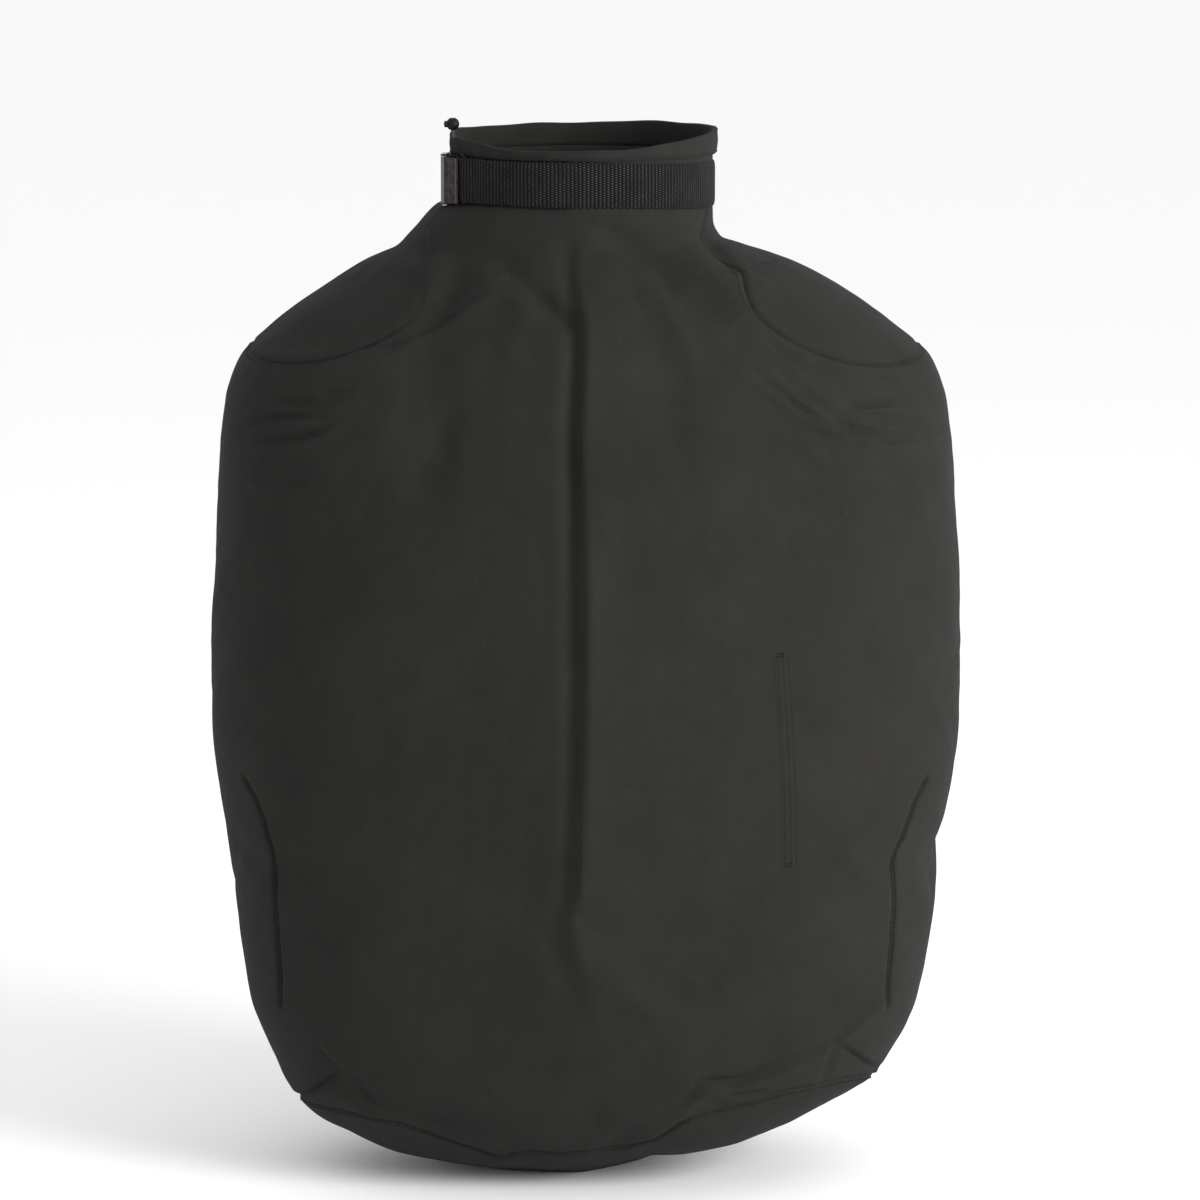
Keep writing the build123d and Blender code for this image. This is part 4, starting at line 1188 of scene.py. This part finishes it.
neck_angles = np.linspace(-180, 180, 540, endpoint=False)
gather = 0.4 * np.sin(np.radians(neck_angles) * 41)
gather += 0.7 * value_noise(neck_angles / 9, neck_angles * 0 + 3, 11)
rim = rim_height(neck_angles)
at_exit = np.exp(-(((neck_angles - CORD_EXIT) / 8.0) ** 2))
swell = 1.6 * np.clip(np.sin(np.radians(neck_angles)), 0, 1) ** 2 + 2.4 * at_exit + 0.3 * gather
bulge = HEM_FACE + swell
# hem band, from its lower edge over the rim and down inside
hem_rows = [(radius + share * swell + 0.1 * gather, height) for radius, share, height in HEM_EDGE]
for share in (0.3, 0.5, 0.7, 0.85):
    hem_rows.append((bulge - 0.9 * abs(share - 0.55) * 2, lerp(HEM_EDGE[-1][2], rim - 1.6, share)))
for turn in np.radians(np.linspace(0, 180, 9)):
    rim_radius = (bulge + HEM_INSIDE) / 2 + (bulge - 0.6 - HEM_INSIDE) / 2 * math.cos(turn)
    hem_rows.append((rim_radius, rim - RIM_ROUND + RIM_ROUND * math.sin(turn)))
for share in (0.2, 0.5, 0.8, 1.0):
    hem_rows.append((110.3 + 0.25 * gather * (1 - share), lerp(rim - 2.4, HEM_FOOT, share)))
neck_ring("neck_hem_band", hem_rows, "neck_hem")
sleeve_rows = [(112.3, z) for z in np.linspace(20.5, -24, 14)]
sleeve_rows += [(110.35 + 0.15 * gather * smoothstep(0, 20, z), z) for z in np.linspace(-27, 20, 14)]
neck_ring("neck_sleeve_cloth", sleeve_rows, "neck_sleeve")
hem_line = ring_point(114.9 + 0.6 * swell, neck_angles, 22.4 + 0.1 * gather)
hem_out = ring_point(1.0, neck_angles, 0.0)
hem_stitches = stitch_mesh("neck_hem_stitches", [(hem_line, hem_out)], length=2.2, pitch=3.2, radius=0.36)
rider(hem_stitches, THREAD, "thread", "bag")

# ------------------------------------------------------------------ strap
BUCKLE_TURN = math.radians(18)      # the strap's route is drawn with its buckle at the left, then turned
STRAP_STEP = 0.5
STRAP_HALF = (STRAP_HIGH - STRAP_LOW) / 2
STRAP_HALF_THICK = 0.8
RIB_HEIGHT, SELVEDGE_DIP, EDGE_WAVE = 0.28, -0.18, 0.35


def arc(radius, start, end):
    """Points on the neck, at angles from the buckle's own left towards the front."""
    turn = np.radians(180 + np.linspace(start, end, max(2, int(abs(end - start) / 1.5))))
    return np.stack([radius * np.cos(turn), radius * np.sin(turn)], -1)


# From the end folded under the buckle's bar, round the neck, through the buckle and on into the tail
strap_route = np.vstack([
    arc(115.5, 24, 16.5),
    [(-115.6, -26.0), (-115.6, -22.2), (-114.9, -19.4), (-113.4, -18.4), (-112.3, -19.6), (-112.0, -22.5)],
    arc(113.5, 14.5, 328),
    [(-109.5, 42.5), (-113.2, 33.0), (-115.3, 26.5), (-115.6, 20.0), (-115.6, 8.0), (-115.6, -5.0),
     (-116.2, -10.5), (-117.3, -16.0), (-117.8, -22.0), (-117.4, -30.0)],
    arc(117.5, 21, 27),
    [(-102.2, -57.6)],
    arc(115.5, 37, 69),
])


def strap_line():
    """The route smoothed, at even steps, with the length along it."""
    fine = curve_through(strap_route, len(strap_route) * 12)
    for _ in range(10):
        fine[1:-1] = (fine[:-2] + 2 * fine[1:-1] + fine[2:]) / 4
    along = lengths_along(fine)
    at = np.arange(0, along[-1], STRAP_STEP)
    return read_along(fine, along, at), at


def strap_ribbon():
    """The webbing's whole surface: ribs across it, thin round edges and a groove beside each."""
    line, at = strap_line()
    way = np.gradient(line, axis=0)
    way /= np.linalg.norm(way, axis=1, keepdims=True)
    out = np.stack([way[:, 1], -way[:, 0]], -1)
    ribs = RIB_HEIGHT * (np.abs(np.sin(math.pi * at / RIB)) - 0.6)
    cos, sin = math.cos(BUCKLE_TURN), math.sin(BUCKLE_TURN)
    x, y = line.T
    angles = np.degrees(np.arctan2(x * cos - y * sin, -(x * sin + y * cos)))
    across = np.linspace(-1, 1, 15)
    rows, uvs = [], []
    for place, side in [(p, 1) for p in across] + [(p, -1) for p in across[::-1]]:
        rounding = math.sqrt(max(0.0, 1 - max(0.0, (abs(place) - 0.93) / 0.07) ** 2))
        groove = SELVEDGE_DIP if 0.80 < abs(place) < 0.9 else 0.0
        height = side * (STRAP_HALF_THICK * rounding + (ribs + groove) * (0.3 + 0.7 * rounding))
        x, y = (line + out * height[:, None]).T
        wave = EDGE_WAVE * np.sin(at / 23.0 + 1.2 * place) * abs(place) ** 3
        z = strap_tilt(angles) + place * STRAP_HALF + wave
        rows.append(np.stack([x * cos - y * sin, x * sin + y * cos, z], -1))
        uvs.append(np.stack([at, np.full(len(at), place * STRAP_HALF)], -1))
    faces = tube_faces(len(at), len(rows), turned=True)
    obj = new_object("strap_ribbon", np.stack(rows, 1), faces, np.stack(uvs, 1))
    face_outward(obj)
    rider(obj, STRAP, "strap_webbing", "bag", "webbing_strap")


strap_ribbon()

# ------------------------------------------------------------------ keepers
KEEPER_SECTION = [(112.6, 24.5), (112.6, 21.8), (113.4, 20.4), (114.8, 18.9), (114.9, 8), (114.9, -8),
                  (114.8, -19.1), (113.4, -20.8), (112.6, -22.4), (112.6, -28.2)]      # radius, height
KEEPER_CENTRES = {"right": 50.0 + 90.0, "left": 125.0 + 90.0}      # the record's angles, from the front


def keeper(hand, centre):
    """A back keeper: a loop of tape over the strap. Returns the tacks above and below the strap."""
    angles = centre + np.linspace(-5, 5, 9)
    obj = grid_object(f"back_{hand}_keeper_tape",
                      np.stack([ring_point(r, angles, z) for r, z in curve_through(KEEPER_SECTION, 90)]))
    outward = ring_point(1.0, centre, 0.0)
    if obj.data.polygons[len(obj.data.polygons) // 2].normal.dot(Vector(outward)) < 0:
        obj.data.flip_normals()
    modifier = obj.modifiers.new("tape thickness", "SOLIDIFY")
    modifier.thickness = 0.9 * MM
    modifier.offset = 1
    apply_modifiers(obj)
    rider(obj, KEEPER, "keeper_tape", "bag", f"keeper_back_{hand}")
    tack_angles = centre + np.linspace(-4.0, 4.0, 25)
    sway = np.where(np.arange(25) % 2, 0.9, -0.9)
    tack_outs = np.repeat(outward[None], 25, 0)
    return [(ring_point(114.0, tack_angles, z + sway), tack_outs) for z in (23.0, -26.0)]


keeper_tacks = [tack for hand, centre in KEEPER_CENTRES.items() for tack in keeper(hand, centre)]
rider(thread_tube("keeper_tack_threads", keeper_tacks, 0.4), THREAD, "thread", "bag", "keeper_bar_tacks")

# ------------------------------------------------------------------ draw cord and its lock's spring
CORD_RADIUS = 0.95
CORD_RING, CORD_INSIDE, CORD_HEIGHT = 116.0, 113.2, 31.0
# One end of the cord on its way up through the lock, as (degrees beside its foot, height)
CORD_RISE = [(0.9, 31.6), (0.15, 33.4), (0.0, 36.0), (0.0, 40.0), (0.0, 46.0), (0.0, 52.0)]
LOCK_HEIGHT = 47.0
LOCK_WAY = np.array([0.962692, 0.2706, 0.0])        # the way the button goes out
SPRING_START, SPRING_LENGTH, SPRING_SEAT = 2.3, 1.45, 4.1      # along the button's way from the lock's centre
SPRING_RADIUS, SPRING_PITCH, SPRING_WIRE = 1.9, 0.72, 0.35


def cord_route():
    """Up one end, round inside the hem below the rim, and up the other end."""
    turned = (CORD_EXIT + np.linspace(2.4, 357.6, 220) + 180) % 360 - 180
    near_exit = np.exp(-(((turned - CORD_EXIT) / 8.0) ** 2))
    height = lerp(np.minimum(CORD_HEIGHT, rim_height(turned) - 5.0), CORD_HEIGHT, near_exit)
    ring = ring_point(lerp(CORD_INSIDE, CORD_RING, near_exit), turned, height)
    ends = []
    for side in (1.0, -1.0):
        foot = CORD_EXIT + side * math.degrees(1.2 / CORD_RING)
        ends.append(np.array([ring_point(CORD_RING, foot + side * beside, z) for beside, z in CORD_RISE]))
    return np.vstack([ends[0][::-1], ring, ends[1]])


def round_tube(name, line, radius, sides):
    """A round cord or wire along a line that goes round the neck."""
    way = unit(np.gradient(line, axis=0))
    outward = unit(line * np.array([1, 1, 0]))
    outward = unit(outward - way * np.sum(outward * way, 1, keepdims=True))
    return thread_tube(name, [(line, outward)], radius, sides)


cord = round_tube("draw_cord_braid", curve_through(cord_route(), 900), CORD_RADIUS, 10)
rider(cord, CORD, "draw_cord", "bag", "draw_cord")

# the spring behind the lock's button
lock_centre = ring_point(CORD_RING, CORD_EXIT, LOCK_HEIGHT)
spring_turn = np.linspace(0, SPRING_LENGTH / SPRING_PITCH, 140)[:, None]
swing = 2 * math.pi * spring_turn
lock_across, up = np.array([-LOCK_WAY[1], LOCK_WAY[0], 0.0]), np.array([0.0, 0.0, 1.0])
spring_line = lock_centre + LOCK_WAY * (SPRING_START + SPRING_PITCH * spring_turn)
spring_line = spring_line + SPRING_RADIUS * (lock_across * np.cos(swing) + up * np.sin(swing))
lock_spring = round_tube("cord_lock_spring_coil", spring_line, SPRING_WIRE / 2, 8)
rider(lock_spring, SPRING_STEEL, "spring_steel", "cord_lock", "cord_lock_spring")
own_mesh(lock_spring)

# ------------------------------------------------------------------ pieces kept from the frame
KEPT = {
    "buckle_frame": BUCKLE_METAL, "buckle_cam": BUCKLE_METAL, "buckle_pin": PIN_STEEL,
    "buckle_spring": SPRING_STEEL, "cord_lock_body": LOCK_NYLON, "cord_lock_plunger": LOCK_NYLON,
}
for name, material in KEPT.items():
    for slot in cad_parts[name].material_slots:
        slot.material = material

# ------------------------------------------------------------------ studio
FLOOR_REACH = 60.0
CAMERA_PLACE, CAMERA_TARGET = Vector((0.0147, -4.1483, 0.2853)), Vector((0.0147, 0.0, -0.3717))
KEY_PLACE, KEY_TARGET = Vector((3.1, -2.2, 0.8)), Vector((0, 0, -0.4))


def aimed(name, data, place, target):
    """A light or camera at a place, turned to its target."""
    obj = bpy.data.objects.new(name, data)
    obj.location = place
    obj.rotation_euler = (target - place).to_track_quat("-Z", "Y").to_euler()
    bpy.context.scene.collection.objects.link(obj)
    return obj


corners = [(x * FLOOR_REACH, y * FLOOR_REACH, FLOOR * MM) for x, y in ((-1, -1), (1, -1), (1, 1), (-1, 1))]
floor_mesh = bpy.data.meshes.new("studio_floor")
floor_mesh.from_pydata(corners, [], [(0, 1, 2, 3)])
FLOOR_LOOK = {"Base Color": (0.96, 0.96, 0.96, 1), "Roughness": 0.9}
floor_mesh.materials.append(Graph("studio_floor", FLOOR_LOOK).material)
floor = bpy.data.objects.new("studio_floor", floor_mesh)
bpy.context.scene.collection.objects.link(floor)

world = bpy.data.worlds.new("studio")
bpy.context.scene.world = world
world.use_nodes = True
world.node_tree.nodes["Background"].inputs["Color"].default_value = (1, 1, 1, 1)
world.node_tree.nodes["Background"].inputs["Strength"].default_value = 0.98

key = bpy.data.lights.new("key_right", "AREA")
key.shape, key.size, key.energy = "DISK", 2.0, 195
aimed("key_right", key, KEY_PLACE, KEY_TARGET)

bpy.context.scene.view_settings.view_transform = "Standard"
camera_data = bpy.data.cameras.new("camera")
camera_data.lens, camera_data.sensor_width = 143.4, 36
bpy.context.scene.camera = aimed("camera", camera_data, CAMERA_PLACE, CAMERA_TARGET)
